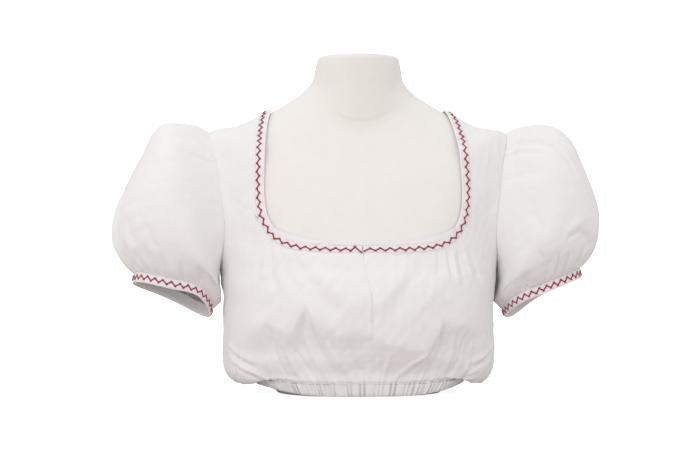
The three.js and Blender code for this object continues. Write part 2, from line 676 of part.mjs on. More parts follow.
function bustForm() {
  const position = [];
  const top = RINGS.length - 1;
  for (let r = 0; r <= FORM_ROWS; r++) {
    // the neck's rounded rim gets rows of its own
    const level = r < FORM_ROWS - 2 ? ((top - 2) * r) / (FORM_ROWS - 2) : top - (FORM_ROWS - r);
    for (let i = 0; i < FORM_STEPS; i++)
      position.push(...onBody((360 * i) / FORM_STEPS, level, 0).toArray());
  }
  const index = gridFaces(FORM_ROWS + 1, FORM_STEPS, true).flat();
  const rings = [
    { first: 0, level: 0, flip: true },
    { first: FORM_ROWS * FORM_STEPS, level: top, flip: false },
  ];
  for (const { first, level, flip } of rings) {
    const middle = position.length / 3;
    const { zFront, mid } = between(RINGS, level);
    position.push(0, mid, zFront);
    for (let i = 0; i < FORM_STEPS; i++) {
      const [a, b] = [first + i, first + ((i + 1) % FORM_STEPS)];
      index.push(...(flip ? [b, a, middle] : [a, b, middle]));
    }
  }
  const geometry = new THREE.BufferGeometry();
  geometry.setAttribute("position", new THREE.Float32BufferAttribute(position, 3));
  geometry.setIndex(index);
  geometry.computeVertexNormals();
  const mesh = new THREE.Mesh(geometry, new THREE.MeshStandardMaterial(CREAM_JERSEY));
  mesh.name = "bust_form";
  return mesh;
}

// The back neckband runs from shoulder to shoulder in one piece.
function backBandPlaces() {
  const half = alongNeckline(backNeckline, 0, 1, Math.round(BAND_STEPS / 2));
  const mirrored = half.slice(1).map(({ turn, level }) => ({ turn: 360 - turn, level }));
  return [...half.reverse(), ...mirrored];
}

const blouse = new THREE.Group();
blouse.add(
  bustForm(),
  frontPanel("front_left", 1),
  frontPanel("front_right", -1),
  backPanel(),
  sleeve("sleeve_left", "left"),
  sleeve("sleeve_right", "right"),
  cuff("cuff_left", "left"),
  cuff("cuff_right", "right"),
  frontNeckband("neckband_left", 1),
  frontNeckband("neckband_right", -1),
  neckband("neckband_back", backBandPlaces(), 1),
  hemCasing(),
);

export default blouse;
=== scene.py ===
"""A cropped puff-sleeve blouse with red herringbone stitching, worn by a limbless bust form.

The model's lengths are millimetres until a mesh is made. X runs across the shoulders, the chest faces -Y
and Z is up. Left and right are the wearer's, so the left side is +X. A place on the body is given by its
turn, in degrees from the centre front towards the wearer's left, and its level, which counts the rings of
the bust form upwards. A place on a sleeve is given by its share of the way from armhole to cuff, and its
angle, which is 0 at the top, 90 at the front and 180 underarm.
"""

from __future__ import annotations

import logging
import math
from dataclasses import dataclass, field
from enum import Enum
from typing import NamedTuple, Sequence

import bpy
import numpy as np
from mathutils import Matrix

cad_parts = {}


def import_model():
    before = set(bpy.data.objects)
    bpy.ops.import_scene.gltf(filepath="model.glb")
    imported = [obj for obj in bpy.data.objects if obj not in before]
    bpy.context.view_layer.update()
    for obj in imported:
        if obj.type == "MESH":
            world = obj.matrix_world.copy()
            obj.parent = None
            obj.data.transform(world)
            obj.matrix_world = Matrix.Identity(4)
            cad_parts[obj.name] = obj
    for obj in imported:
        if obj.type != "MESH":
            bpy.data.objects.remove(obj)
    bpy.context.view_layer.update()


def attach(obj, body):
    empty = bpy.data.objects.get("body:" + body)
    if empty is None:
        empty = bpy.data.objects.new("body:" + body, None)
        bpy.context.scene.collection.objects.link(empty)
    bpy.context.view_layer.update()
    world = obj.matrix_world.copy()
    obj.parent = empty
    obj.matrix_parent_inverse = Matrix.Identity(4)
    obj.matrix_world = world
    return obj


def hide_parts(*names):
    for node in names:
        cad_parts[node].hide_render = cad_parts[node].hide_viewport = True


LOG = logging.getLogger("blouse")
Array = np.ndarray
Row = tuple[float, ...]
Piece = bpy.types.Object
Material = bpy.types.Material
Tree = bpy.types.NodeTree
Node = bpy.types.Node
Socket = bpy.types.NodeSocket
MM = 0.001
BODY = "root"


class Side(Enum):
    """The wearer's side."""

    LEFT = 1
    RIGHT = -1

    @property
    def word(self) -> str:
        """The side's name in a piece's name."""
        return self.name.lower()


# Small helpers for numbers


def smooth(low: float, high: float, value: Array) -> Array:
    """A soft step from 0 at low to 1 at high."""
    t = np.clip((np.asarray(value, dtype=float) - low) / (high - low), 0, 1)
    return t * t * (3 - 2 * t)


def mix(a: Array, b: Array, share: Array) -> Array:
    """The value at a share of the way from a to b."""
    return a + (b - a) * share


def unit(vectors: Array) -> Array:
    """The vectors, each made one long."""
    return vectors / np.maximum(np.linalg.norm(vectors, axis=-1, keepdims=True), 1e-12)


def run_along(line: Array) -> Array:
    """The distance along a line at each of its points."""
    return np.concatenate([[0], np.cumsum(np.linalg.norm(np.diff(line, axis=0), axis=-1))])


def read_table(rows: Array, place: Array) -> Array:
    """Reads a table at places between its rows, along a smooth curve through them.

    Args:
        rows: The table, one row for each whole place.
        place: The places to read.

    Returns:
        The values, with the table's columns as the last axis.
    """
    at = np.clip(np.asarray(place, dtype=float), 0, len(rows) - 1)
    i = np.minimum(at.astype(int), len(rows) - 2)
    t = (at - i)[..., None]
    before, here, ahead = rows[np.maximum(i - 1, 0)], rows[i], rows[i + 1]
    after = rows[np.minimum(i + 2, len(rows) - 1)]
    square = 2 * before - 5 * here + 4 * ahead - after
    cube = 3 * here - before - 3 * ahead + after
    return 0.5 * (2 * here + (ahead - before) * t + square * t**2 + cube * t**3)


@dataclass(frozen=True)
class Wander:
    """A smooth uneven value from -1 to 1 that never repeats exactly over a piece.

    Attributes:
        length: The usual distance between its highs, in the units of the places it is read at.
        seed: Picks one of many such values.
        waves: How many waves it is the sum of over a surface.
        reach: The height that their sum seldom passes.
        ring_waves: How many waves it is the sum of round a ring.
        ring_reach: The height that their sum seldom passes.
    """

    length: float
    seed: int
    waves: int = 14
    reach: float = 4.2
    ring_waves: int = 7
    ring_reach: float = 2.6

    def at(self, places: Array) -> Array:
        """Reads the value at places with two or three coordinates.

        Args:
            places: The places, with their coordinates as the last axis.

        Returns:
            One value for each place.
        """
        rng = np.random.default_rng(self.seed)
        total = np.zeros(places.shape[:-1])
        for _ in range(self.waves):
            way = rng.normal(size=places.shape[-1])
            way /= np.linalg.norm(way)
            turns = rng.uniform(0.5, 1.5) * 2 * math.pi / self.length
            total += np.sin(places @ way * turns + rng.uniform(0, 2 * math.pi))
        return total / self.reach

    def round(self, angle: Array, count: int) -> Array:
        """Reads a value that closes on itself after a full turn.

        Args:
            angle: The places, in degrees.
            count: About how many highs it has to the full turn.

        Returns:
            One value for each angle.
        """
        rng = np.random.default_rng(self.seed)
        total = np.zeros(np.shape(angle))
        for k in rng.integers(max(1, count // 2), max(3, count * 3 // 2), size=self.ring_waves):
            total += np.sin(np.radians(angle) * int(k) + rng.uniform(0, 2 * math.pi))
        return total / self.ring_reach


@dataclass(frozen=True)
class Gathers:
    """Ruches that fan out from a seam and merge into fewer, broader folds further from it.

    Attributes:
        count: How many ruches there are to the full turn at the seam.
        height: How high the ruches stand at the seam, in millimetres.
        reach: How far they run from the seam before they merge.
        growth: How much higher each broader set stands than the one before.
        sets: How many sets there are, each with half the ruches of the one before.
        seed: Picks their spacing.
        widening: How much further each broader set runs than the one before.
        uneven: How far their spacing strays, as a share of half a ruche.
        strength: Their usual height as a share of the full one.
        stray: How far their height strays from that.
    """

    count: int
    height: float
    reach: float
    growth: float
    sets: int
    seed: int
    widening: float = 1.9
    uneven: float = 0.36
    strength: float = 0.78
    stray: float = 0.3

    def at(self, angle: Array, distance: Array) -> Array:
        """How far the gathers lift the cloth.

        Args:
            angle: The places round the seam, in degrees.
            distance: Their distance from the seam, in millimetres.

        Returns:
            The heights, in millimetres.
        """
        lift = np.zeros(np.broadcast(angle, distance).shape)
        for step in range(self.sets):
            count = self.count / 2**step
            shift = self.uneven * Wander(1.0, self.seed + 11 * step).round(angle, max(3, int(count / 3)))
            phase = math.pi * (round(count) * angle / 360 + shift)
            ruche = np.abs(np.sin(phase)) - 0.6
            stray = self.stray * Wander(1.0, self.seed + 5 + step).round(angle, max(3, int(count / 4)))
            strength = self.strength + stray
            reach = self.reach * self.widening**step
            start = smooth(-0.4, 0.6, distance / self.reach * 2 - step * 0.8) if step else 1.0
            fade = np.exp(-((np.maximum(distance, 0) / reach) ** 1.6))
            lift += self.height * self.growth**step * ruche * strength * fade * start
        return lift


class Fold(NamedTuple):
    """A soft ridge, or a trough where its height is negative, from one place to another.

    across is a turn or an angle in degrees, and up a height in millimetres, or a share on a sleeve.
    """

    from_across: float
    from_up: float
    to_across: float
    to_up: float
    from_width: float
    to_width: float
    height: float


def fold_heights(folds: Sequence[Row], across: Array, up: Array, scale: tuple[float, float]) -> Array:
    """How far a list of folds lifts the cloth.

    Args:
        folds: The folds, each with the values of a Fold in order.
        across: The places' turns or angles.
        up: The places' heights or shares.
        scale: Millimetres to one unit of across, and to one unit of up.

    Returns:
        The heights, in millimetres.
    """
    lift = np.zeros(np.shape(across))
    for f in map(Fold._make, folds):
        run = np.array([(f.to_across - f.from_across) * scale[0], (f.to_up - f.from_up) * scale[1]])
        here_x = (across - f.from_across) * scale[0]
        here_y = (up - f.from_up) * scale[1]
        length = math.hypot(*run)
        share = (here_x * run[0] + here_y * run[1]) / length**2
        aside = np.abs(here_x * run[1] - here_y * run[0]) / length
        width = mix(f.from_width, f.to_width, np.clip(share, 0, 1))
        ends = smooth(-0.12, 0.3, share) * (1 - smooth(0.85, 1.15, share))
        lift += f.height * np.exp(-((aside / width) ** 1.8)) * ends
    return lift


# The shape of the bust form and of the cloth over it


class Ring(NamedTuple):
    """One level of the bust form, and how far the smooth cloth stands off it there.

    Its heights, its reaches from the middle and how far back the middle lies come first. square fills out
    the corners, ease and lift are how far the cloth stands off and is raised, and hug keeps the side's ease
    from spreading forward.
    """

    z_front: float
    z_side: float
    z_back: float
    half: float
    front: float
    back: float
    mid: float
    square: float
    ease_front: float
    ease_side: float
    ease_back: float
    lift_front: float
    lift_side: float
    lift_back: float
    hug: float


RINGS = [
    # the base and the ribs, where the blousing cloth overhangs its casing at the sides
    ((0, 0, 0), (110, 94, 82), 0, 0.1, (12, 25, 14), (1, 11, 4), 0),
    ((19, 19, 19), (125, 95, 85), 0, 0.1, (12.5, 20, 14.5), (-3, 2, 0), 0),
    ((22, 22, 22), (127, 95.5, 86), 0, 0.1, (14, 23, 17), (-2, 3, 0), 0),
    ((28, 28, 28), (130, 96.5, 87), 0, 0.1, (18.5, 35, 25), (0, -14.5, -4), 0),
    ((44, 44, 44), (137, 99.5, 90), 0, 0.1, (28.5, 43, 33), (0, -15, -4), 0),
    ((62, 62, 62), (142, 105, 92.5), 0, 0.1, (29, 41.5, 33), (0, -7, -2), 0),
    ((90, 90, 90), (147, 120, 96), 0, 0.1, (17.5, 35, 28), (0, -2, 0), 0),
    ((125, 125, 125), (153, 135.5, 101), 0, 0.11, (3.2, 29, 21), (0, 0, 0), 0.5),
    ((150, 150, 150), (158, 131.2, 104.5), 1, 0.12, (3, 27, 16), (0, 0, 0), 1.5),
    # the underarm, and up the armholes
    ((171, 168, 172), (162, 121.3, 107), 2, 0.14, (3.2, 25, 13), (0, 0, 0), 3),
    ((197, 212, 228), (169, 109, 109.5), 3, 0.15, (4.2, 25, 9), (0, 0, 0), 6),
    ((230, 262, 275), (177, 97.5, 110), 4, 0.16, (4.2, 25, 6), (0, 0, 0), 6),
    ((262, 306, 312), (184, 85.5, 107.5), 6, 0.14, (4.2, 20, 5), (2, 2, 2), 6),
    # along the shoulders, from the tip to the neck
    ((290, 338, 337), (185, 73.5, 101.5), 8, 0.1, (4, 16, 4), (10, 10, 10), 6),
    ((313, 354, 354), (156, 62.5, 95), 11, 0.07, (4, 6, 4), (4, 4, 4), 4),
    ((332, 376.5, 369), (116.5, 52.5, 89), 14, 0.05, (4, 2, 4), (3.4, 3.4, 3.4), 0),
    ((345, 391, 384), (92, 45.5, 82.5), 15, 0.03, (4, 2, 4), (4, 4, 4), 0),
    # the neck, which is bare
    ((358, 402, 397), (76, 42.5, 77), 15, 0.02, (4, 2, 4), (4, 4, 4), 0),
    ((383, 418, 414), (62, 45, 69), 12, 0, (0, 0, 0), (0, 0, 0), 0),
    ((420, 432, 430), (58.5, 49, 65.5), 8, 0, (0, 0, 0), (0, 0, 0), 0),
    ((444, 445, 445), (55.5, 52, 61.5), 5, 0, (0, 0, 0), (0, 0, 0), 0),
    ((450, 450, 450), (52.5, 49, 58), 5, 0, (0, 0, 0), (0, 0, 0), 0),
    ((452, 452, 452), (45, 42, 51), 5, 0, (0, 0, 0), (0, 0, 0), 0),
]
CASING_TOP = 1.0
BODY_FOOT = 1.06
UNDERARM = 9.0
SHOULDER_TIP = 13.0
NECK_POINT = 15.0
TOP = len(RINGS) - 1.0

MM_PER_DEGREE = 2.9
ARMHOLE_FRONT = 22.0
ARMHOLE_RISE = 3.0
ARMHOLE_SPREAD = 9.0


@dataclass(frozen=True)
class BodySurface:
    """The bust form, and the smooth cloth over it."""

    table: Array = field(default_factory=lambda: np.array([np.hstack(row) for row in RINGS], dtype=float))

    def ring_at(self, level: Array) -> Ring:
        """The ring at a level between two rows."""
        return Ring(*np.moveaxis(read_table(self.table, level), -1, 0))

    def place(self, turn: Array, level: Array, worn: float) -> Array:
        """A place on the form or on the smooth cloth.

        Args:
            turn: Turns in degrees.
            level: Levels.
            worn: 0 for the form, 1 for the cloth.

        Returns:
            The places, with x, y and z as the last axis.
        """
        turn, level = np.broadcast_arrays(np.asarray(turn, float), np.asarray(level, float))
        r = self.ring_at(level)
        s, c = np.sin(np.radians(turn)), np.cos(np.radians(turn))
        facing = c > 0
        hug = np.maximum(r.hug, 0)
        half = r.half + worn * r.ease_side * np.maximum(np.abs(s), 1e-9) ** hug
        front = r.front + r.mid + worn * r.ease_front
        back = r.back - r.mid + worn * r.ease_back
        reach = np.where(facing, front, back)
        z = mix(r.z_side, np.where(facing, r.z_front, r.z_back), c * c)
        # the heights of front and back reach less far round over the hem than further up
        spread = smooth(2, 3, level)
        hanging = smooth(mix(-0.05, 0.15, spread), mix(0.95, 0.6, spread), c * c)
        lift = mix(r.lift_side, np.where(facing, r.lift_front, r.lift_back), hanging)
        x = half * s * (1 + r.square * c * c)
        y = r.mid - reach * c * (1 + r.square * s * s)
        return np.stack([x, y, z + worn * lift], axis=-1)

    def slopes(self, turn: Array, level: Array, worn: float = 1.0) -> tuple[Array, Array]:
        """How the surface runs by the degree round the body, and by the level up it.

        Args:
            turn: Turns in degrees.
            level: Levels.
            worn: 0 for the form, 1 for the cloth.

        Returns:
            The two directions at each place.
        """
        step = 0.01
        round_it = self.place(turn + step, level, worn) - self.place(turn - step, level, worn)
        up = self.place(turn, level + step, worn) - self.place(turn, level - step, worn)
        return round_it / (2 * step), up / (2 * step)

    def normal(self, turn: Array, level: Array, worn: float = 1.0) -> Array:
        """The direction straight out of the surface."""
        round_it, up = self.slopes(turn, level, worn)
        return unit(np.cross(round_it, up))

    def walk(self, turn: Array, level: Array, way: Array, distance: Array) -> tuple[Array, Array]:
        """Walks a distance over the smooth cloth, in a direction in space.

        Args:
            turn: The starting turns.
            level: The starting levels.
            way: The directions, each one long.
            distance: How far to walk, in millimetres.

        Returns:
            The turns and levels reached.
        """
        strides = 6
        for _ in range(strides):
            round_it, up = self.slopes(turn, level)
            rr, ru, uu = (np.sum(a * b, axis=-1) for a, b in ((round_it, round_it), (round_it, up), (up, up)))
            rd, ud = np.sum(round_it * way, axis=-1), np.sum(up * way, axis=-1)
            scale = distance / strides / (rr * uu - ru * ru)
            turn, level = turn + (rd * uu - ud * ru) * scale, level + (ud * rr - rd * ru) * scale
        return turn, level

    def locate(self, x: Array, z: Array, from_back: bool) -> tuple[Array, Array]:
        """Finds the cloth that shows at x and z from the front, or from the back.

        Args:
            x: How far aside it shows.
            z: How high it shows.
            from_back: Whether it is looked at from the back.

        Returns:
            The turns and levels there.
        """

        def turn_at(level: Array) -> Array:
            """The turn where the smooth cloth is as far out as x, by halving."""
            low, high = np.zeros_like(level), np.full_like(level, 90.0)
            for _ in range(32):
                middle = (low + high) / 2
                short = self.place(180 - middle if from_back else middle, level, 1)[..., 0] < x
                low, high = np.where(short, middle, low), np.where(short, high, middle)
            return 180 - low if from_back else low

        low, high = np.full_like(x, CASING_TOP), np.full_like(x, NECK_POINT)
        for _ in range(32):
            middle = (low + high) / 2
            short = self.place(turn_at(middle), middle, 1)[..., 2] < z
            low, high = np.where(short, middle, low), np.where(short, high, middle)
        return turn_at(low), low

    def height_above_casing(self, turn: Array, level: Array) -> Array:
        """The distance up the smooth cloth from the top of the hem casing."""
        levels = np.linspace(CASING_TOP, NECK_POINT, 240)

        def run(at: float) -> Array:
            """The distance up the smooth cloth at one turn."""
            return np.interp(level, levels, run_along(self.place(np.full_like(levels, at), levels, 1)))

        c = np.cos(np.radians(turn))
        return mix(run(90.0), np.where(c > 0, run(0.0), run(180.0)), c * c)


def curve_through(points: Array, count: int) -> Array:
    """Evenly spaced points on a smooth curve through a few marks.

    Args:
        points: The marks.
        count: How many points to give back.

    Returns:
        The points on the curve, the first and last marks among them.
    """
    marks = np.vstack([2 * points[0] - points[1], points, 2 * points[-1] - points[-2]])
    steps, pieces = 40, []
    for p0, p1, p2, p3 in zip(marks, marks[1:], marks[2:], marks[3:]):
        d0, d1, d2 = (np.sqrt(np.linalg.norm(b - a)) for a, b in ((p0, p1), (p1, p2), (p2, p3)))
        start = ((p1 - p0) / d0 - (p2 - p0) / (d0 + d1) + (p2 - p1) / d1) * d1
        end = ((p2 - p1) / d1 - (p3 - p1) / (d1 + d2) + (p3 - p2) / d2) * d1
        t = np.linspace(0, 1, steps, endpoint=False)[:, None]
        cube = 2 * p1 - 2 * p2 + start + end
        pieces.append(p1 + start * t + (-3 * p1 + 3 * p2 - 2 * start - end) * t**2 + cube * t**3)
    line = np.vstack([*pieces, points[-1]])
    run = run_along(line)
    at = np.linspace(0, run[-1], count)
    return np.stack([np.interp(at, run, line[:, k]) for k in range(points.shape[1])], axis=-1)


FRONT_NECKLINE = [
    (0, 198), (55, 199), (92, 203), (113, 213), (126, 232), (131, 258), (131, 295), (128.5, 335),
    (123.5, 365),
]  # fmt: skip
BACK_NECKLINE = [(0, 312), (60, 314), (94, 321), (113, 336), (120, 356)]


@dataclass
class Neckline:
    """The neckline's edge from the middle to the neck end of the shoulder seam, on the wearer's left.

    Attributes:
        body: The cloth that it lies on.
        outline: Its x and z as seen from the front or the back.
        from_back: Whether it is the back neckline.
    """

    body: BodySurface
    outline: Sequence[tuple[float, float]]
    from_back: bool

    def __post_init__(self) -> None:
        """Finds the neckline's turns, levels and length."""
        end = self.body.place(90.0, NECK_POINT, 1)
        marks = np.array([*self.outline, (end[0], end[2])], dtype=float)
        line = curve_through(marks, 161)
        self.turns, self.levels = self.body.locate(line[:, 0], line[:, 1], self.from_back)
        self.turns[-1], self.levels[-1] = 90.0, NECK_POINT
        self.run = run_along(self.body.place(self.turns, self.levels, 1))

    @property
    def length(self) -> float:
        """Its length in millimetres."""
        return float(self.run[-1])

    def at(self, share: Array) -> tuple[Array, Array]:
        """The turn and level at a share of its length."""
        run = np.asarray(share) * self.length
        return np.interp(run, self.run, self.turns), np.interp(run, self.run, self.levels)


def armhole(angle: Array) -> tuple[Array, Array]:
    """The armhole's turn and level by its angle: 0 at the shoulder tip, 90 in front, 180 underarm."""
    drop = (1 - np.cos(np.radians(angle))) / 2
    return 90 - ARMHOLE_FRONT * np.sin(np.radians(angle)), mix(SHOULDER_TIP, UNDERARM, drop)


def seam_rise(angle: Array) -> Array:
    """How far panel and sleeve rise together to the armhole's seam, so that they meet without a groove."""
    return ARMHOLE_RISE * np.sin(np.radians(angle)) ** 2


# Making meshes


def add_object(name: str, data: bpy.types.ID) -> Piece:
    """Makes an object of a mesh, a light or a camera, and puts it into the scene."""
    obj = bpy.data.objects.new(name, data)
    bpy.context.scene.collection.objects.link(obj)
    return obj


def make_object(
    name: str, verts: Array, faces: Sequence[Sequence[int]], uv: Array | None = None, wrap: float = 0.0
) -> Piece:
    """Makes an object at the origin from places in millimetres.

    Args:
        name: The object's name.
        verts: The places.
        faces: The faces, each a list of places.
        uv: One pair in metres for each place, or None.
        wrap: How much further on a face that closes a ring reads its first places, or 0.

    Returns:
        The object, smoothly shaded.
    """
    mesh = bpy.data.meshes.new(name)
    mesh.from_pydata((np.asarray(verts) * MM).tolist(), [], [list(map(int, f)) for f in faces])
    mesh.update()
    if uv is not None:
        layer = mesh.uv_layers.new(name="Cloth")
        corners = np.empty(len(mesh.loops), dtype=np.int32)
        mesh.loops.foreach_get("vertex_index", corners)
        pairs = np.asarray(uv, dtype=np.float32)[corners]
        if wrap:
            sizes = np.array([len(f) for f in faces])
            face = np.repeat(np.arange(len(faces)), sizes)
            highest = np.maximum.reduceat(pairs[:, 0], np.cumsum(sizes) - sizes)[face]
            pairs[:, 0] += np.where(highest - pairs[:, 0] > wrap / 2, wrap, 0)
        layer.data.foreach_set("uv", pairs.ravel())
    mesh.shade_smooth()
    mesh.set_sharp_from_angle(angle=math.radians(62))
    return add_object(name, mesh)


def grid_faces(rows: int, columns: int, closed: bool, flip: bool) -> Array:
    """The quads of a grid of places, row by row.

    Args:
        rows: How many rows there are.
        columns: How many places a row has.
        closed: Whether the last column joins the first.
        flip: Whether the faces are turned over.

    Returns:
        The quads.
    """
    r, c = np.meshgrid(np.arange(rows - 1), np.arange(columns if closed else columns - 1), indexing="ij")
    ahead = (c + 1) % columns
    here, above = r * columns, (r + 1) * columns
    quads = np.stack([here + c, here + ahead, above + ahead, above + c], -1).reshape(-1, 4)
    return quads[:, ::-1] if flip else quads


def grid_normals(places: Array, closed: bool, flip: bool) -> Array:
    """The directions straight out of a grid of places."""
    if closed:
        across = np.roll(places, -1, axis=1) - np.roll(places, 1, axis=1)
    else:
        across = np.gradient(places, axis=1)
    normal = unit(np.cross(across, np.gradient(places, axis=0)))
    return -normal if flip else normal


def grid_uv(places: Array, closed: bool) -> Array:
    """Lays a grid out flat, roughly, in metres."""
    along = np.linalg.norm(np.diff(places, axis=1), axis=-1)
    up = np.linalg.norm(np.diff(places, axis=0), axis=-1)
    mean = along.mean(axis=0)
    u = np.broadcast_to(np.concatenate([[0], np.cumsum(mean)]), places.shape[:2])
    v = np.concatenate([np.zeros((1, places.shape[1])), np.cumsum(up, axis=0)])
    v = mix(v, v.mean(axis=1, keepdims=True), 0.6 if closed else 0.0)
    return np.stack([u, v], axis=-1) * MM


def shell_parts(places: Array, thickness: float, closed: bool, flip: bool) -> tuple[Array, Array, Array]:
    """Gives a grid of places on a cloth's outer side a thickness.

    Args:
        places: The grid, in millimetres.
        thickness: The wall's thickness.
        closed: Whether the last column joins the first.
        flip: Whether the outer side is the grid's other side.

    Returns:
        The wall's places, its faces and its flat layout.
    """
    rows, columns = places.shape[:2]
    inner = places - grid_normals(places, closed, flip) * thickness
    count = rows * columns
    outer_faces = grid_faces(rows, columns, closed, flip)
    number = np.arange(count).reshape(rows, columns)
    rims = [(number[0], flip), (number[-1], not flip), (number[:, 0], not flip), (number[:, -1], flip)]
    if closed:
        rims = [(np.append(rim, rim[0]), turned) for rim, turned in rims[:2]]
    faces = [outer_faces, outer_faces[:, ::-1] + count]
    for rim, turned in rims:
        quads = np.stack([rim[:-1], rim[:-1] + count, rim[1:] + count, rim[1:]], -1)
        faces.append(quads[:, ::-1] if turned else quads)
    uv = grid_uv(places, closed).reshape(-1, 2)
    verts = np.vstack([places.reshape(-1, 3), inner.reshape(-1, 3)])
    return verts, np.vstack(faces), np.vstack([uv, uv])


def cloth_shell(
    name: str,
    places: Array,
    thickness: float,
    closed: bool = False,
    flip: bool = False,
    turning: Array | None = None,
) -> Piece:
    """Makes a closed thin wall of cloth from a grid of places on its outer side.

    Args:
        name: The object's name.
        places: The grid, in millimetres.
        thickness: The wall's thickness.
        closed: Whether the last column joins the first.
        flip: Whether the outer side is the grid's other side.
        turning: A second grid, for an edge of the same cloth that is turned under it.

    Returns:
        The object.
    """
    verts, faces, uv = shell_parts(places, thickness, closed, flip)
    columns = places.shape[1]
    wrap = float(uv[:, 0].max()) * columns / (columns - 1) if closed else 0.0
    if turning is not None:
        more_verts, more_faces, more_uv = shell_parts(turning, thickness / 2, False, flip)
        faces = np.vstack([faces, more_faces + len(verts)])
        verts, uv = np.vstack([verts, more_verts]), np.vstack([uv, more_uv])
    return make_object(name, verts, faces, uv, wrap)


def swept_band(name: str, sections: Array, closed: bool, flip: bool = False) -> Piece:
    """Makes a band from closed sections, one after another along it.

    Args:
        name: The object's name.
        sections: The places, as sections along the band by places round each section.
        closed: Whether the last section joins the first.
        flip: Whether the faces are turned over.

    Returns:
        The object.
    """
    count, size = sections.shape[:2]
    grid = np.swapaxes(sections, 0, 1)
    quads = grid_faces(size + 1, count, closed, flip)
    quads = np.where(quads >= size * count, quads - size * count, quads)
    faces: list[Sequence[int]] = quads.tolist()
    if not closed:
        first = [k * count for k in range(size)]
        last = [k * count + count - 1 for k in range(size)]
        faces.append(first if flip else first[::-1])
        faces.append(last[::-1] if flip else last)
    u = np.broadcast_to(run_along(grid.mean(axis=0)), grid.shape[:2])
    v = np.broadcast_to(run_along(grid[:, count // 2])[:, None], grid.shape[:2])
    wrap = float(u.max()) * MM * count / (count - 1) if closed else 0.0
    return make_object(name, grid.reshape(-1, 3), faces, np.stack([u, v], -1).reshape(-1, 2) * MM, wrap)


@dataclass
class Strip:
    """A narrow surface that runs along a path, such as a band, a cuff or a casing.

    Attributes:
        places: Its surface, as stations along it by places across it, in millimetres.
        normals: The directions straight out of it at those places.
        width: Its width, in millimetres.
    """

    places: Array
    normals: Array
    width: float

    def __post_init__(self) -> None:
        """Measures the strip along its middle."""
        self.run = run_along(self.places[:, self.places.shape[1] // 2])

    @property
    def length(self) -> float:
        """Its length along the middle."""
        return float(self.run[-1])

    def read(self, grid: Array, run: Array, across: Array) -> Array:
        """Reads a grid of values on the strip.

        Args:
            grid: The values, as stations by places across.
            run: The distances along it.
            across: The distances across it.

        Returns:
            The values there.
        """
        station = np.interp(run, self.run, np.arange(len(self.run)))
        column = np.clip(across / self.width, 0, 1) * (grid.shape[1] - 1)
        i = np.minimum(station.astype(int), len(self.run) - 2)
        j = np.minimum(column.astype(int), grid.shape[1] - 2)
        s, t = (station - i)[..., None], (column - j)[..., None]
        near = mix(grid[i, j], grid[i, j + 1], t)
        return mix(near, mix(grid[i + 1, j], grid[i + 1, j + 1], t), s)

    def at(self, run: Array, across: Array, raise_by: Array = 0.0) -> Array:
        """Places on the strip, raised off it by a distance."""
        normal = unit(self.read(self.normals, run, across))
        return self.read(self.places, run, across) + normal * np.asarray(raise_by)[..., None]

    def out(self, run: Array, across: Array) -> Array:
        """The directions straight out of the strip."""
        return unit(self.read(self.normals, run, across))

    def section(self, profile: Sequence[tuple[float, float]], lifts: Array | None = None) -> Array:
        """Carries a profile along the strip.

        Args:
            profile: The profile's places, each a distance across and one off the surface.
            lifts: More height for the outer places, as stations by profile places.

        Returns:
            The sections, as stations by profile places.
        """
        rows = []
        for k, (across, off) in enumerate(profile):
            inside = np.clip(across, 0, self.width)
            near, place, far = (self.read(self.places, self.run, inside + step) for step in (-0.5, 0, 0.5))
            more = np.zeros(len(self.run)) if lifts is None else lifts[:, k]
            aside = unit(far - near) * (across - inside)
            rows.append(place + aside + self.out(self.run, inside) * (off + more)[..., None])
        return np.stack(rows, axis=1)


def nearest_on_line(places: Array, line: Array) -> tuple[Array, Array]:
    """Finds how far places are from a line, and how far along the line they are nearest to.

    Args:
        places: The places.
        line: Points on the line.

    Returns:
        The distances from the line, and the distances along it.
    """
    run = run_along(line)
    flat = places.reshape(-1, 3)
    best = np.empty(len(flat))
    along = np.empty(len(flat))
    for first in range(0, len(flat), 4000):
        part = flat[first : first + 4000]
        gaps = np.linalg.norm(part[:, None] - line[None], axis=-1)
        near = gaps.argmin(axis=1)
        best[first : first + 4000] = gaps[np.arange(len(part)), near]
        along[first : first + 4000] = run[near]
    return best.reshape(places.shape[:-1]), along.reshape(places.shape[:-1])


# Materials


def fill(node: Node, values: dict[str, object]) -> None:
    """Sets a node's inputs to plain values."""
    for title, value in values.items():
        node.inputs[title].default_value = value


class Shader:
    """A material's or a node group's tree, with short ways to add nodes to it."""

    def __init__(self, tree: Tree) -> None:
        """Starts on a tree."""
        self.tree = tree

    def node(self, kind: str, settings: dict | None = None, **inputs: object) -> Node:
        """Adds a node.

        Args:
            kind: The node's type.
            settings: Its properties.
            **inputs: Values for its inputs or outputs of other nodes to link to them, by the inputs' names
                with underscores for spaces, or in1, in2 and so on by their order.

        Returns:
            The node.
        """
        made = self.tree.nodes.new(kind)
        for name, value in (settings or {}).items():
            setattr(made, name, value)
        for name, value in inputs.items():
            if name[:2] == "in" and name[2:].isdigit():
                socket = made.inputs[int(name[2:]) - 1]
            else:
                socket = made.inputs[name.replace("_", " ")]
            if isinstance(value, Socket):
                self.tree.links.new(value, socket)
            else:
                socket.default_value = value
        return made

    def first(self, kind: str, settings: dict | None = None, **inputs: object) -> Socket:
        """Adds a node as node does, and gives its first output."""
        return self.node(kind, settings, **inputs).outputs[0]

    def math(self, operation: str, *values: object) -> Socket:
        """Adds a Math node and gives its output."""
        inputs = {f"in{k + 1}": value for k, value in enumerate(values)}
        return self.first("ShaderNodeMath", {"operation": operation}, **inputs)

    def noise(self, place: Socket, scale: object, **inputs: float) -> Socket:
        """Adds a noise texture and gives its value."""
        return self.first("ShaderNodeTexNoise", Vector=place, Scale=scale, **inputs)


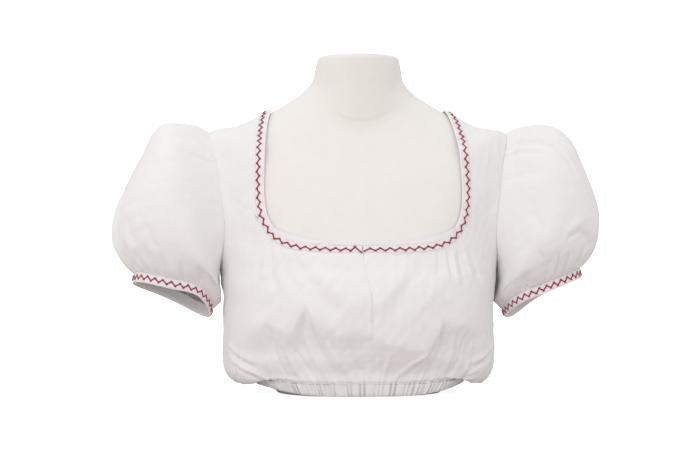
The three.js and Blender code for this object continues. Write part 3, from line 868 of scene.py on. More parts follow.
def new_group(name: str, inputs: dict[str, float], outputs: Sequence[str]) -> tuple[Shader, dict, Node]:
    """Makes a shader node group.

    Args:
        name: Its name.
        inputs: Its inputs' names and usual values.
        outputs: Its outputs' names.

    Returns:
        Its tree, its inputs' sockets by name, and its output node.
    """
    tree = bpy.data.node_groups.new(name, "ShaderNodeTree")
    for title, value in inputs.items():
        tree.interface.new_socket(title, in_out="INPUT", socket_type="NodeSocketFloat").default_value = value
    for title in outputs:
        tree.interface.new_socket(title, in_out="OUTPUT", socket_type="NodeSocketFloat")
    given = tree.nodes.new("NodeGroupInput").outputs
    return Shader(tree), {title: given[title] for title in inputs}, tree.nodes.new("NodeGroupOutput")


def weave_group() -> Tree:
    """A plain weave: threads over and under each other, and slubs where a thread is thicker."""
    shader, given, out = new_group("plain_weave", {"Thread Spacing": 0.0004}, ["Height", "Slub"])
    uv = shader.first("ShaderNodeUVMap", {"uv_map": "Cloth"})
    split = shader.node("ShaderNodeSeparateXYZ", Vector=uv).outputs
    waves = []
    for k in (0, 1):
        turns = shader.math("DIVIDE", split[k], given["Thread Spacing"])
        waves.append(shader.math("SINE", shader.math("MULTIPLY", turns, math.pi)))
    weave = shader.math("MULTIPLY", waves[0], waves[1])
    scales = ((60, 1400, 1), (1400, 60, 1))
    stretched = [shader.first("ShaderNodeMapping", Vector=uv, Scale=scale) for scale in scales]
    slubs = [shader.noise(place, 1.0, Detail=2.0) for place in stretched]
    slub = shader.math("MAXIMUM", *slubs)
    shader.tree.links.new(shader.math("MULTIPLY_ADD", slub, 0.8, weave), out.inputs["Height"])
    shader.tree.links.new(slub, out.inputs["Slub"])
    return shader.tree


def crumple_group() -> Tree:
    """Soft creases that cotton keeps after it was folded, broad and fine."""
    shader, given, out = new_group("soft_creases", {"Size": 0.03, "Sharpness": 0.5}, ["Height", "Fine"])
    place = shader.node("ShaderNodeTexCoord").outputs["Object"]
    size = shader.math("DIVIDE", 1.0, given["Size"])
    broad = shader.noise(place, size, Detail=3.0, Roughness=0.5, Distortion=0.6)
    ridge = shader.math("ABSOLUTE", shader.math("SUBTRACT", broad, 0.5))
    crease = shader.math("MULTIPLY_ADD", ridge, given["Sharpness"], broad)
    fine = shader.noise(place, shader.math("MULTIPLY", size, 6.0), Detail=4.0, Roughness=0.6)
    shader.tree.links.new(crease, out.inputs["Height"])
    shader.tree.links.new(fine, out.inputs["Fine"])
    return shader.tree


@dataclass(frozen=True)
class Finish:
    """What every finish of the blouse and its form has.

    Attributes:
        name: The material's name.
        light: The lighter of its two colours.
        dark: The darker one.
        roughness: Its roughness.
        sheen: How strongly its fibres catch light at the edges.
    """

    name: str
    light: tuple[float, float, float]
    dark: tuple[float, float, float]
    roughness: float
    sheen: float

    def begin(self) -> tuple[Shader, Node, Material]:
        """Starts the material.

        Returns:
            Its tree, its Principled shader and the material.
        """
        material = bpy.data.materials.new(self.name)
        material.use_nodes = True
        shader = Shader(material.node_tree)
        principled = material.node_tree.nodes["Principled BSDF"]
        fill(principled, {"Roughness": self.roughness, "Specular IOR Level": 0.3})
        fill(principled, {"Sheen Weight": self.sheen, "Sheen Roughness": 0.5})
        return shader, principled, material

    def colour(self, shader: Shader, principled: Node, share: Socket) -> None:
        """Varies the base colour between the two colours."""
        blend = shader.node("ShaderNodeMix", {"data_type": "RGBA"}, Factor=share)
        fill(blend, {"A": (*self.dark, 1), "B": (*self.light, 1)})
        shader.tree.links.new(blend.outputs["Result"], principled.inputs["Base Color"])

    def bump(
        self,
        shader: Shader,
        principled: Node,
        heights: Sequence[tuple[Socket, float]],
    ) -> None:
        """Chains bumps, each a height and its depth in metres, into the normal."""
        normal = None
        for height, depth in heights:
            made = shader.node("ShaderNodeBump", Height=height, Distance=depth)
            if normal is not None:
                shader.tree.links.new(normal, made.inputs["Normal"])
            normal = made.outputs["Normal"]
        shader.tree.links.new(normal, principled.inputs["Normal"])


@dataclass(frozen=True)
class CottonFinish(Finish):
    """White cotton of a plain weave, softly creased."""

    thread: float = 0.00042
    crease: float = 0.00035

    def make(self, weave: Tree, crumple: Tree) -> Material:
        """Makes the material from the weave's and the creases' groups."""
        shader, principled, material = self.begin()
        woven = shader.node("ShaderNodeGroup", {"node_tree": weave}, Thread_Spacing=self.thread)
        creased = shader.node("ShaderNodeGroup", {"node_tree": crumple}, Size=0.028, Sharpness=0.7)
        share = shader.math("MULTIPLY_ADD", woven.outputs["Slub"], 0.5, creased.outputs["Fine"])
        self.colour(shader, principled, share)
        broad, fine, threads = creased.outputs["Height"], creased.outputs["Fine"], woven.outputs["Height"]
        self.bump(shader, principled, [(broad, self.crease), (fine, self.crease * 0.22), (threads, 0.00003)])
        return material


@dataclass(frozen=True)
class JerseyFinish(Finish):
    """Cream jersey stretched over the bust form: fine ribs of knitted loops, with painted shade between them.
    """

    rib: float = 0.0009

    def make(self, crumple: Tree) -> Material:
        """Makes the material."""
        shader, principled, material = self.begin()
        uv = shader.first("ShaderNodeUVMap", {"uv_map": "Cloth"})
        split = shader.node("ShaderNodeSeparateXYZ", Vector=uv).outputs
        across = shader.math("MULTIPLY", split[0], math.pi / self.rib)
        up = shader.math("MULTIPLY", split[1], 2 * math.pi / self.rib)
        rib = shader.math("ABSOLUTE", shader.math("SINE", across))
        loop = shader.math("SINE", shader.math("MULTIPLY_ADD", rib, 1.6, up))
        knit = shader.math("MULTIPLY_ADD", loop, 0.35, rib)
        creased = shader.node("ShaderNodeGroup", {"node_tree": crumple}, Size=0.09, Sharpness=0.0)
        # painted shade: the colour is darker between the ribs; the fine creases vary it at random
        share = shader.math("MULTIPLY_ADD", rib, 0.3, creased.outputs["Fine"])
        self.colour(shader, principled, share)
        heights = [(creased.outputs["Height"], 0.0012), (creased.outputs["Fine"], 0.0002), (knit, 0.00006)]
        self.bump(shader, principled, heights)
        return material


@dataclass(frozen=True)
class ThreadFinish(Finish):
    """Twisted thread, with the strands' slanting grooves, and painted shade that darkens its colour in them.
    """

    twist: float = 0.0011

    def make(self) -> Material:
        """Makes the material."""
        shader, principled, material = self.begin()
        uv = shader.first("ShaderNodeUVMap", {"uv_map": "Thread"})
        split = shader.node("ShaderNodeSeparateXYZ", Vector=uv).outputs
        along = shader.math("MULTIPLY", split[0], 2 * math.pi / self.twist)
        round_it = shader.math("MULTIPLY_ADD", split[1], 4 * math.pi, along)
        strand = shader.math("SINE", round_it)
        place = shader.node("ShaderNodeTexCoord").outputs["Object"]
        fuzz = shader.noise(place, 900.0, Detail=3.0)
        # painted shade: the colour is darker in the grooves between the strands; the fuzz varies it at random
        share = shader.math("MULTIPLY_ADD", strand, 0.3, fuzz)
        self.colour(shader, principled, share)
        self.bump(shader, principled, [(strand, 0.00012), (fuzz, 0.00008)])
        return material


@dataclass
class Finishes:
    """The three materials of the part, and the thread of the white seams."""

    cotton: Material
    jersey: Material
    red_thread: Material
    white_thread: Material


def make_finishes() -> Finishes:
    """Makes the finishes, from the groups that they share."""
    weave, crumple = weave_group(), crumple_group()
    cotton = CottonFinish("white_cotton", (0.93, 0.917, 0.921), (0.89, 0.871, 0.876), 0.85, 0.2)
    jersey = JerseyFinish("cream_jersey", (0.93, 0.905, 0.87), (0.88, 0.85, 0.81), 0.9, 0.3)
    red = ThreadFinish("red_thread", (0.5, 0.03, 0.085), (0.3, 0.014, 0.042), 0.6, 0.2)
    white = ThreadFinish("white_thread", (0.9, 0.89, 0.9), (0.78, 0.77, 0.78), 0.7, 0.2)
    return Finishes(cotton.make(weave, crumple), jersey.make(crumple), red.make(), white.make())


# Stitches

# how far across neckband and cuff the machine's two rows run
BAND_SEAMS = (1.6, 11.5)
CUFF_SEAMS = (1.4, 11.7)


@dataclass
class Threads:
    """Straight stitches of one thread, each laid over the cloth from one hole to the next.

    Attributes:
        name: The piece's name.
        width: The thread's width, in millimetres.
        height: Its height.
        arch: How far the middle of a stitch stands off the cloth.
        profile_sides: How many sides its section has.
        steps: How many parts a stitch has along its length.
        middles: The stitches' middles, in the order in which they are sewn.
        runs: The ways that they run, each as long as its stitch.
        outs: The directions out of the cloth under them.
    """

    name: str
    width: float
    height: float
    arch: float
    profile_sides: int
    steps: int
    middles: list[Array] = field(default_factory=list)
    runs: list[Array] = field(default_factory=list)
    outs: list[Array] = field(default_factory=list)

    def add(self, start: Array, end: Array, out: Array) -> None:
        """Adds stitches from their ends, in millimetres, and the directions out of the cloth."""
        self.middles.append((start + end) / 2)
        self.runs.append(end - start)
        self.outs.append(out)

    def tree(self) -> Tree:
        """Builds the tree that lays a stitch at each point."""
        tree = bpy.data.node_groups.new(f"{self.name}_tree", "GeometryNodeTree")
        face = tree.interface
        face.new_socket("Geometry", in_out="INPUT", socket_type="NodeSocketGeometry")
        kinds = {"Thread Width": "Float", "Thread Height": "Float", "Arch": "Float"}
        kinds |= {"Profile Sides": "Int", "Steps": "Int", "Material": "Material"}
        for title, kind in kinds.items():
            face.new_socket(title, in_out="INPUT", socket_type=f"NodeSocket{kind}")
        face.new_socket("Geometry", in_out="OUTPUT", socket_type="NodeSocketGeometry")
        shader = Shader(tree)
        given = tree.nodes.new("NodeGroupInput").outputs
        reach = 0.28
        near, far = (shader.first("ShaderNodeCombineXYZ", X=x, Z=given["Arch"]) for x in (-reach, reach))
        line = shader.first(
            "GeometryNodeCurvePrimitiveBezierSegment",
            {"mode": "POSITION"},
            Resolution=given["Steps"],
            Start=(-0.5, 0, 0),
            Start_Handle=near,
            End_Handle=far,
            End=(0.5, 0, 0),
        )
        upright = shader.first("GeometryNodeSetCurveNormal", {"mode": "Z_UP"}, Curve=line)
        sides = given["Profile Sides"]
        circle = shader.first("GeometryNodeCurvePrimitiveCircle", Resolution=sides, Radius=0.5)
        size = shader.first("ShaderNodeCombineXYZ", X=given["Thread Width"], Y=given["Thread Height"], Z=1.0)
        oval = shader.first("GeometryNodeTransform", Geometry=circle, Scale=size)
        thread = shader.first("GeometryNodeCurveToMesh", Curve=upright, Profile_Curve=oval, Fill_Caps=True)
        place = tree.nodes.new("GeometryNodeInputPosition").outputs[0]
        here = shader.node("ShaderNodeSeparateXYZ", Vector=place).outputs
        turn = shader.math("DIVIDE", shader.math("ARCTAN2", here["Y"], here["Z"]), 2 * math.pi)
        usual_length = 0.01
        along = shader.math("MULTIPLY", here["X"], usual_length)
        marked = shader.first(
            "GeometryNodeStoreNamedAttribute",
            {"data_type": "FLOAT2", "domain": "CORNER"},
            Geometry=thread,
            Name="Thread",
            Value=shader.first("ShaderNodeCombineXYZ", X=along, Y=turn),
        )
        read, settings = "GeometryNodeInputNamedAttribute", {"data_type": "FLOAT_VECTOR"}
        ways = {name: shader.first(read, settings, Name=name) for name in ("run", "out", "size")}
        turned = shader.first(
            "FunctionNodeAxesToRotation",
            {"primary_axis": "X", "secondary_axis": "Z"},
            Primary_Axis=ways["run"],
            Secondary_Axis=ways["out"],
        )
        laid = shader.first(
            "GeometryNodeInstanceOnPoints",
            Points=given["Geometry"],
            Instance=marked,
            Rotation=turned,
            Scale=ways["size"],
        )
        real = shader.first("GeometryNodeRealizeInstances", Geometry=laid)
        dressed = shader.first("GeometryNodeSetMaterial", Geometry=real, Material=given["Material"])
        shader.node("NodeGroupOutput", Geometry=dressed)
        return tree

    def sew(self, material: Material, slot: str) -> Piece:
        """Makes the stitches' mesh.

        Args:
            material: The thread.
            slot: The record's slot of the thread.

        Returns:
            The piece.
        """
        middles, runs, outs = (np.concatenate(x) for x in (self.middles, self.runs, self.outs))
        mesh = bpy.data.meshes.new(f"{self.name}_places")
        mesh.from_pydata((middles * MM).tolist(), [], [])
        lengths = np.linalg.norm(runs, axis=-1) * MM
        sizes = np.stack([lengths, np.ones_like(lengths), np.ones_like(lengths)], axis=-1)
        for name, values in (("run", runs), ("out", outs), ("size", sizes)):
            attribute = mesh.attributes.new(name, "FLOAT_VECTOR", "POINT")
            attribute.data.foreach_set("vector", values.astype(np.float32).ravel())
        holder = add_object(f"{self.name}_places", mesh)
        modifier = holder.modifiers.new("stitches", "NODES")
        modifier.node_group = self.tree()
        values = {
            "Thread Width": self.width * MM,
            "Thread Height": self.height * MM,
            "Arch": self.arch * MM,
            "Profile Sides": self.profile_sides,
            "Steps": self.steps,
            "Material": material,
        }
        for item in modifier.node_group.interface.items_tree:
            if item.in_out == "INPUT" and item.name in values:
                modifier[item.identifier] = values[item.name]
        bpy.context.view_layer.update()
        graph = bpy.context.evaluated_depsgraph_get()
        made = bpy.data.meshes.new_from_object(holder.evaluated_get(graph), depsgraph=graph)
        bpy.data.objects.remove(holder)
        bpy.data.meshes.remove(mesh)
        made.name = self.name
        made.shade_smooth()
        return report(add_object(self.name, made), slot)


@dataclass(frozen=True)
class Herringbone:
    """A row of slanting stitches whose ends cross over one another.

    Attributes:
        height: The row's height from tip to tip, in millimetres.
        centre: How far across the strip its middle runs.
        tip: How far each stitch runs on past the crossing.
        first: How much further up and down its first stitch reaches than the others.
        first_run: How much further along it reaches, as a share of that.
        uneven_run: How far a hole strays along the row.
        uneven_height: How far it strays across the row.
    """

    height: float
    centre: float
    tip: float = 0.23
    first: float = 0.0
    first_run: float = 0.6
    uneven_run: float = 0.22
    uneven_height: float = 0.16

    def sew(
        self,
        threads: Threads,
        strip: Strip,
        start: float,
        end: float,
        periods: tuple[float, float],
        seed: int,
    ) -> None:
        """Adds the row's stitches.

        Args:
            threads: The thread that they belong to.
            strip: What they are sewn on.
            start: Where the row starts along the strip.
            end: Where it ends.
            periods: The distance between two stitches of the same slant, at its start and its end.
            seed: Picks the small unevenness of handwork.
        """
        rng = np.random.default_rng(seed)
        turns = [start]
        while turns[-1] < end:
            turns.append(turns[-1] + mix(*periods, (turns[-1] - start) / (end - start)) / 2)
        runs = start + (np.array(turns) - start) * (end - start) / (turns[-1] - start)
        runs[1:-1] += rng.normal(0, self.uneven_run, len(runs) - 2)
        half = (self.height - threads.width) / (2 + 4 * self.tip)
        slant = np.where(np.arange(len(runs)) % 2 == 0, 1, -1)
        heights = self.centre + slant * half + rng.normal(0, self.uneven_height, len(runs))
        heights[:2] += slant[:2] * self.first
        runs[1] += self.first * self.first_run
        begin = np.stack([runs[:-1], heights[:-1]], axis=-1)
        finish = np.stack([runs[1:], heights[1:]], axis=-1)
        more = (finish - begin) * self.tip
        begin, finish = begin - more, finish + more
        upper, lower = threads.height * 0.95, threads.height * 0.15
        starts = strip.at(begin[:, 0], begin[:, 1], upper)
        ends = strip.at(finish[:, 0], finish[:, 1], lower)
        middle = (begin + finish) / 2
        threads.add(starts, ends, strip.out(middle[:, 0], middle[:, 1]))


def topstitch(threads: Threads, strip: Strip, across: float, start: float = 0.0) -> None:
    """Adds a row of machine stitches along a strip.

    Args:
        threads: The thread that they belong to.
        strip: What they are sewn on.
        across: How far across the strip they run.
        start: Where the row starts.
    """
    length, pitch, clear = 2.2, 2.9, 0.02
    count = max(1, int((strip.length - start) / pitch))
    begin = start + np.arange(count) * (strip.length - start) / count
    line = np.full(count, across)
    starts, ends = strip.at(begin, line, clear), strip.at(begin + length, line, clear)
    threads.add(starts, ends, strip.out(begin + length / 2, line))


def report(piece: Piece, slot: str, *nodes: str) -> Piece:
    """Fixes a piece to the part's body, and logs it.

    Args:
        piece: The piece.
        slot: The record's slot; not used.
        *nodes: The CAD nodes that it stands for.

    Returns:
        The piece.
    """
    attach(piece, BODY)
    if nodes:
        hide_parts(*nodes)
    triangles = sum(len(p.vertices) - 2 for p in piece.data.polygons)
    area = sum(p.area for p in piece.data.polygons) / 2
    LOG.info("%s: %d triangles, %.4f m2 of cloth", piece.name, triangles, area)
    return piece


# The blouse

FRONT_FOLDS = (
    # valleys and ridges that run from the crest down into the casing's gathers
    (-24.5, 114, -13, 22, 1.8, 3, -3.2), (-28, 100, -18, 22, 3.5, 5, 2.2),
    (-21, 98, -8, 24, 3, 4, 1.8), (-42, 94, -37, 26, 2.4, 3.4, -2.4),
    (-46, 84, -44, 26, 4, 4, 1.8), (-36, 80, -30, 24, 3.4, 4, 1.8),
    (-31, 70, -24, 24, 1.8, 2.8, -2), (-7, 74, -2.5, 22, 1.8, 2.4, -2.4),
    (-11, 70, -7, 22, 3, 3.4, 1.8), (3, 60, 3, 22, 1.8, 2.4, -1.6),
    (9, 60, 7, 22, 3, 3, 1.6), (25, 58, 12, 22, 3, 3.4, 2.4),
    (29, 66, 17, 22, 2.2, 3, -2.6), (32, 92, 29, 30, 1.8, 4, -2.8),
    (38, 84, 37, 26, 4, 4.4, 2), (44, 78, 42, 24, 2, 3.2, -2.2),
    (50, 76, 49, 24, 3.6, 4, 1.8),
    # slanting slack at the lower corners
    (-76, 64, -52, 34, 2.4, 3, -2.8), (-78, 72, -50, 42, 4, 4, 2.4),
    (-72, 50, -50, 24, 3.6, 3.6, 2.6), (-66, 40, -50, 18, 1.8, 2.6, -2.2),
    (-60, 60, -68, 18, 2.4, 3.4, -2.2), (74, 62, 54, 34, 2.4, 3, -2.6),
    (77, 70, 52, 42, 4, 4, 2.2), (72, 48, 52, 24, 3.6, 3.6, 2.4),
    (64, 40, 50, 18, 1.8, 2.6, -2),
    # slack over the bust, from the corners towards the slit
    (-33, 180, -12, 108, 5, 11, -1.8), (-27, 184, -6, 112, 7, 10, 1.9),
    (-40, 158, -19, 104, 8, 12, 1.8), (25, 178, 8, 106, 5, 11, -1.8),
    (20, 184, 4, 116, 6, 10, 1.7), (33, 154, 17, 106, 8, 12, 1.8),
    # gathers under the neckline's corners
    (-38, 192, -37.5, 150, 2, 4.5, 2.3), (-36, 191, -34.5, 154, 1.3, 3, -1.7),
    (-33, 191, -29, 148, 2, 4.5, 1.5), (-30.5, 190, -26, 158, 1.3, 3.2, -1.3),
    (-41.5, 192, -41.5, 150, 1.8, 4, -3), (-45, 194, -46.5, 154, 2, 4.4, 2),
    (31, 190, 31, 160, 1.4, 3.6, -1.2), (34, 191, 36, 152, 2, 4.5, 1.6),
    (36.3, 192, 38, 152, 1.3, 3.2, -1.6), (38.8, 193, 41, 148, 1.8, 4.2, 2.4),
    (41.6, 194, 44, 150, 1.2, 3, -3), (44.8, 196, 50, 152, 1.8, 4.6, 2.2),
    (48, 199, 55, 154, 1.4, 4, -2.2),
)  # fmt: skip

BACK_FOLDS = (
    (122, 94, 127, 22, 1.8, 3, -2.8), (128, 80, 131, 22, 3.6, 4.4, 2),
    (146, 108, 141, 22, 1.8, 3.2, -3.2), (138, 96, 136, 24, 3.6, 4.4, 2),
    (152, 84, 149, 22, 3.6, 4.4, 2), (163, 88, 166, 22, 1.8, 2.8, -2.6),
    (172, 74, 172, 22, 3.2, 4, 1.8), (180, 92, 178, 22, 1.8, 2.8, -2.8),
    (188, 76, 186, 22, 3.2, 4, 1.8), (197, 84, 199, 22, 1.8, 2.8, -2.4),
    (206, 78, 205, 22, 3.6, 4.4, 2), (214, 102, 218, 22, 1.8, 3.2, -3.2),
    (223, 90, 225, 24, 3.6, 4.4, 2), (240, 92, 234, 22, 1.8, 3, -2.8),
    (232, 80, 230, 22, 3.6, 4.4, 2),
    # slanting slack at the lower corners
    (104, 64, 126, 34, 2.4, 3, -2.6), (103, 72, 128, 42, 4, 4, 2.2),
    (108, 50, 128, 24, 3.6, 3.6, 2.4), (256, 66, 234, 36, 2.4, 3, -2.6),
    (257, 74, 232, 44, 4, 4, 2.2), (252, 50, 232, 24, 3.6, 3.6, 2.4),
    # slack from the shoulder blades
    (140, 250, 151, 120, 12, 18, 2.6), (128, 230, 138, 120, 7, 12, -1.8),
    (222, 245, 208, 118, 12, 18, 2.6), (234, 232, 224, 122, 7, 12, -1.8),
    # gathers under the back neckline
    (150, 296, 153, 236, 1.6, 5, -1.6), (155, 298, 158, 230, 2.2, 6, 1.5),
    (161, 298, 163, 240, 1.6, 5, -1.5), (199, 298, 197, 240, 1.6, 5, -1.5),
    (205, 298, 202, 232, 2.2, 6, 1.5), (210, 296, 207, 238, 1.6, 5, -1.6),
)  # fmt: skip


# The crest across the body by turn: above it the cloth hangs straight, and below it turns in to the casing.
CREST = (
    (-92, 70), (-78, 66), (-59.5, 73), (-49.5, 82), (-43, 99), (-40.5, 97), (-33, 84), (-29, 92), (-25, 117),
    (-22.5, 103), (-19, 95), (-15.5, 91), (-11, 80), (-6, 83), (1, 82), (4, 74), (8, 67), (13, 65), (18, 62),
    (23, 59), (27, 76), (31, 99), (35, 95), (42.5, 91), (50, 86), (57, 80), (71, 65), (84, 66), (100, 74),
    (112, 80), (122, 98), (129, 82), (138, 104), (146, 112), (153, 86), (163, 92), (171, 76), (180, 96),
    (188, 78), (197, 88), (206, 80), (214, 106), (222, 96), (231, 84), (240, 97), (249, 76), (268, 70),
)  # fmt: skip


@dataclass
class Bodice:
    """The two fronts and the back, from the hem casing to the neckline and the armholes.

    Attributes:
        body: The form under it.
        wall: The cloth's thickness, in millimetres.
        band: The neckband's width.
        seam_gap: The space between two panels.
        body_rows: How many rows of places run from the casing to the neckline.
        yoke_rows: How many run on from there to the shoulder.
        front_columns: How many columns half the front has.
        back_columns: How many half the back has.
        gathers: The gathers over the hem casing.
        slit_top_x: Where the slit starts under the neckband.
        slit_foot_x: Where its foot and the seam under it lie.
        slit_foot_z: The height of its foot.
        slit_gape: How far it gapes to each side.
        slit_gape_z: The height where it gapes most.
        slit_gape_length: How far up and down it gapes from there.
        slit_top_gape: How far it gapes to each side at the neckband.
        turning: How far the left front's turned edge reaches to each side of the slit.
        roll_width: How wide the fronts' edges are rolled under beside slit and seam.
        roll_depths: How deep they are rolled under along the seam, and along the slit.
        foot_z: The height of the casing's top.
        crest_softness: How softly the cloth bends at the crest.
        crest_slope: How steeply it turns in under the crest.
        crest_curve: How that eases out towards the casing.
        front_split: The armhole's angle where the front's columns start to run to the neckline.
        back_split: The same on the back.
        seam_depth: How deep the side and shoulder seams lie.
        seam_width: How wide their grooves are.
    """

    body: BodySurface
    wall: float = 1.1
    band: float = 13.0
    seam_gap: float = 0.05
    body_rows: int = 84
    yoke_rows: int = 56
    front_columns: int = 236
    back_columns: int = 160
    gathers: Gathers = Gathers(count=118, height=2.5, reach=13, growth=0.85, sets=4, seed=3)
    slit_top_x: float = -5.0
    slit_foot_x: float = 6.0
    slit_foot_z: float = 96.0
    slit_gape: float = 2.3
    slit_gape_z: float = 108.0
    slit_gape_length: float = 15.0
    slit_top_gape: float = 0.7
    turning: float = 6.0
    roll_width: float = 1.4
    roll_depths: tuple[float, float] = (0.5, 0.9)
    foot_z: float = 21.0
    crest_softness: float = 2.6
    crest_slope: float = 0.62
    crest_curve: float = 0.8
    front_split: float = 108.0
    back_split: float = 62.0
    seam_depth: float = 0.5
    seam_width: float = 1.6

    def __post_init__(self) -> None:
        """Lays out the necklines and the armhole."""
        self.front_neckline = Neckline(self.body, FRONT_NECKLINE, from_back=False)
        self.back_neckline = Neckline(self.body, BACK_NECKLINE, from_back=True)
        self.hole_angles = np.linspace(-180, 180, 241)
        self.armhole_line = self.body.place(*armhole(self.hole_angles), 1)
        self.hole_run = run_along(self.armhole_line)

    def slit_middle(self, z: Array) -> Array:
        """How far aside the slit's middle lies at a height."""
        return mix(self.slit_foot_x, self.slit_top_x, smooth(self.slit_gape_z, FRONT_NECKLINE[0][1], z))

    def centre_turn(self, level: Array, side: Side) -> Array:
        """The turn of the slit's edge, and of the seam under it."""
        z = self.body.place(0.0, level, 1)[..., 2]
        gape = smooth(self.slit_foot_z - 4, self.slit_foot_z + 6, z)
        gape *= np.exp(-(((z - self.slit_gape_z) / self.slit_gape_length) ** 2))
        half = self.seam_gap / 2 + self.slit_gape * gape + self.slit_top_gape * smooth(180, 196, z)
        return (self.slit_middle(z) + side.value * half) / self.body.place(1.0, level, 1)[..., 0]

    def grid(self, columns: int, neckline: Neckline, side: Side) -> tuple[Array, Array]:
        """Lays out half a front or back, with turns on the wearer's left.

        Args:
            columns: How many columns it has.
            neckline: Its neckline.
            side: Its side, for the slit.

        Returns:
            The turns and the levels, row by row.
        """
        towards = 1 if neckline.from_back else -1
        climb = np.linspace(0, 1, self.body_rows + 1) ** 1.15
        inner_levels = mix(BODY_FOOT, float(neckline.levels[0]), climb)
        if neckline.from_back:
            inner_turns = np.full_like(inner_levels, 180.0)
        else:
            inner_turns = side.value * self.centre_turn(inner_levels, side)
        split = self.back_split if neckline.from_back else self.front_split
        seam_levels = np.linspace(BODY_FOOT, UNDERARM, 120)
        hole = armhole(-towards * np.linspace(180, split, 80)[1:])
        edge_turns = np.concatenate([np.full_like(seam_levels, 90.0), hole[0]])
        edge_levels = np.concatenate([seam_levels, hole[1]])
        run = run_along(self.body.place(edge_turns, edge_levels, 1))
        outer_turns = np.interp(climb * run[-1], run, edge_turns)
        outer_levels = np.interp(climb * run[-1], run, edge_levels)
        gap = towards * self.seam_gap / 2 / MM_PER_DEGREE
        share = np.linspace(0, 1, self.yoke_rows + 1)[1:]
        neck_turns, neck_levels = neckline.at(share)
        neck_turns = neck_turns + gap * share
        hole_turns, hole_levels = armhole(-towards * split * (1 - share))
        outer_turns, hole_turns = outer_turns + gap, hole_turns + gap
        inner = np.concatenate([inner_turns, neck_turns]), np.concatenate([inner_levels, neck_levels])
        outer = np.concatenate([outer_turns, hole_turns]), np.concatenate([outer_levels, hole_levels])
        across = np.linspace(0, 1, columns)[None, :]
        return tuple(mix(a[:, None], b[:, None], across) for a, b in zip(inner, outer))

    def turned_in(self, turn: Array, places: Array) -> Array:
        """How far the cloth under the crest lies inside the smooth cloth."""
        crest = np.interp(turn, *np.array(CREST, dtype=float).T)
        z = places[..., 2]
        under = self.crest_softness * np.logaddexp(0, (crest - z) / self.crest_softness)
        share = np.clip((z - self.foot_z) / (crest - self.foot_z), 0, 1)
        full = smooth(0.12, 0.5, np.cos(np.radians(turn)) ** 2)
        return self.crest_slope * under * share**self.crest_curve * full

    def surface(self, turn: Array, level: Array, neckline: Neckline) -> Array:
        """Puts the folds and gathers on a grid of turns and levels.

        Args:
            turn: The turns, from -90 to 90 on the front and from 90 to 270 on the back.
            level: The levels.
            neckline: The front's or the back's neckline, as it runs on the wearer's left.

        Returns:
            The places of the cloth's outer side.
        """
        folds, seed = (BACK_FOLDS, 60) if neckline.from_back else (FRONT_FOLDS, 40)
        smooth_places = self.body.place(turn, level, 1)
        normal = self.body.normal(turn, level)
        from_casing = self.body.height_above_casing(turn, level)
        neck_line = self.body.place(neckline.turns, neckline.levels, 1)
        mirrored = smooth_places.copy()
        mirrored[..., 0] = np.abs(mirrored[..., 0])
        from_neck, _ = nearest_on_line(mirrored, neck_line)
        from_hole, along_hole = nearest_on_line(mirrored, self.armhole_line)
        lift = fold_heights(folds, turn, smooth_places[..., 2], (MM_PER_DEGREE, 1.0))
        lift -= self.turned_in(turn, smooth_places)
        # folds fade out at the casing, and everything does at the neckband and the armhole
        lift *= smooth(-2, 14, from_casing)
        lift += self.gathers.at(turn, from_casing)
        lift += 0.9 * Wander(55, seed).at(smooth_places) * smooth(4, 40, from_casing)
        lift += 0.35 * Wander(17, seed + 1).at(smooth_places)
        lift *= smooth(self.band - 4.5, self.band + 1.5, from_neck)
        lift = np.minimum(lift, 0.8 * np.maximum(from_neck - self.band, 0))
        lift *= smooth(0, 14, from_hole)
        rise = seam_rise(np.interp(along_hole, self.hole_run, self.hole_angles))
        lift += rise * np.exp(-((from_hole / ARMHOLE_SPREAD) ** 2))
        from_side = np.abs(np.abs(np.where(turn > 180, turn - 360, turn)) - 90) * MM_PER_DEGREE
        below_hole = level < UNDERARM + 0.3
        on_shoulder = level > SHOULDER_TIP - 0.5
        lift -= self.seam_depth * np.exp(-((from_side / self.seam_width) ** 2)) * (below_hole | on_shoulder)
        room = np.linalg.norm(smooth_places - self.body.place(turn, level, 0), axis=-1)
        lift = np.maximum(lift, self.wall + 0.5 - room)
        return smooth_places + normal * lift[..., None]

    def front(self, side: Side) -> Piece:
        """Makes one front."""
        turn, level = self.grid(self.front_columns, self.front_neckline, side)
        places = self.surface(side.value * turn, level, self.front_neckline)
        rolled = np.exp(-((turn - turn[:, :1]) * MM_PER_DEGREE / self.roll_width) ** 2)
        rolled[self.body_rows + 1 :] = 0
        normal = self.body.normal(side.value * turn, level)
        depth = mix(*self.roll_depths, smooth(90, 100, places[..., 2])) * rolled * (np.abs(turn) < 30)
        places = places - normal * depth[..., None]
        turning = self.slit_turning() if side is Side.LEFT else None
        name = f"front_{side.word}_cloth"
        return cloth_shell(name, places, self.wall, flip=side is Side.RIGHT, turning=turning)

    def slit_turning(self) -> Array:
        """Lays out the edge that the left front turns under the slit, which closes the view through it."""
        levels = np.linspace(CASING_TOP + 2, UNDERARM + 2, 400)
        z = np.linspace(self.slit_foot_z - 8, 186, 64)
        level = np.interp(z, self.body.place(0.0, levels, 1)[..., 2], levels)[:, None]
        aside = np.linspace(-self.turning, self.turning, 13)[None, :]
        turn = (self.slit_middle(z)[:, None] + aside) / self.body.place(1.0, level, 1)[..., 0]
        level = np.broadcast_to(level, turn.shape)
        places = self.surface(turn, level, self.front_neckline)
        return places - self.body.normal(turn, level) * (self.wall + 1.0)

    def back(self) -> Piece:
        """Makes the back, in one piece from side seam to side seam."""
        turn, level = self.grid(self.back_columns, self.back_neckline, Side.LEFT)
        left, right = (self.surface(turns, level, self.back_neckline) for turns in (turn, 360 - turn))
        return back_shell("back_cloth", left, right, self.body_rows, self.wall)


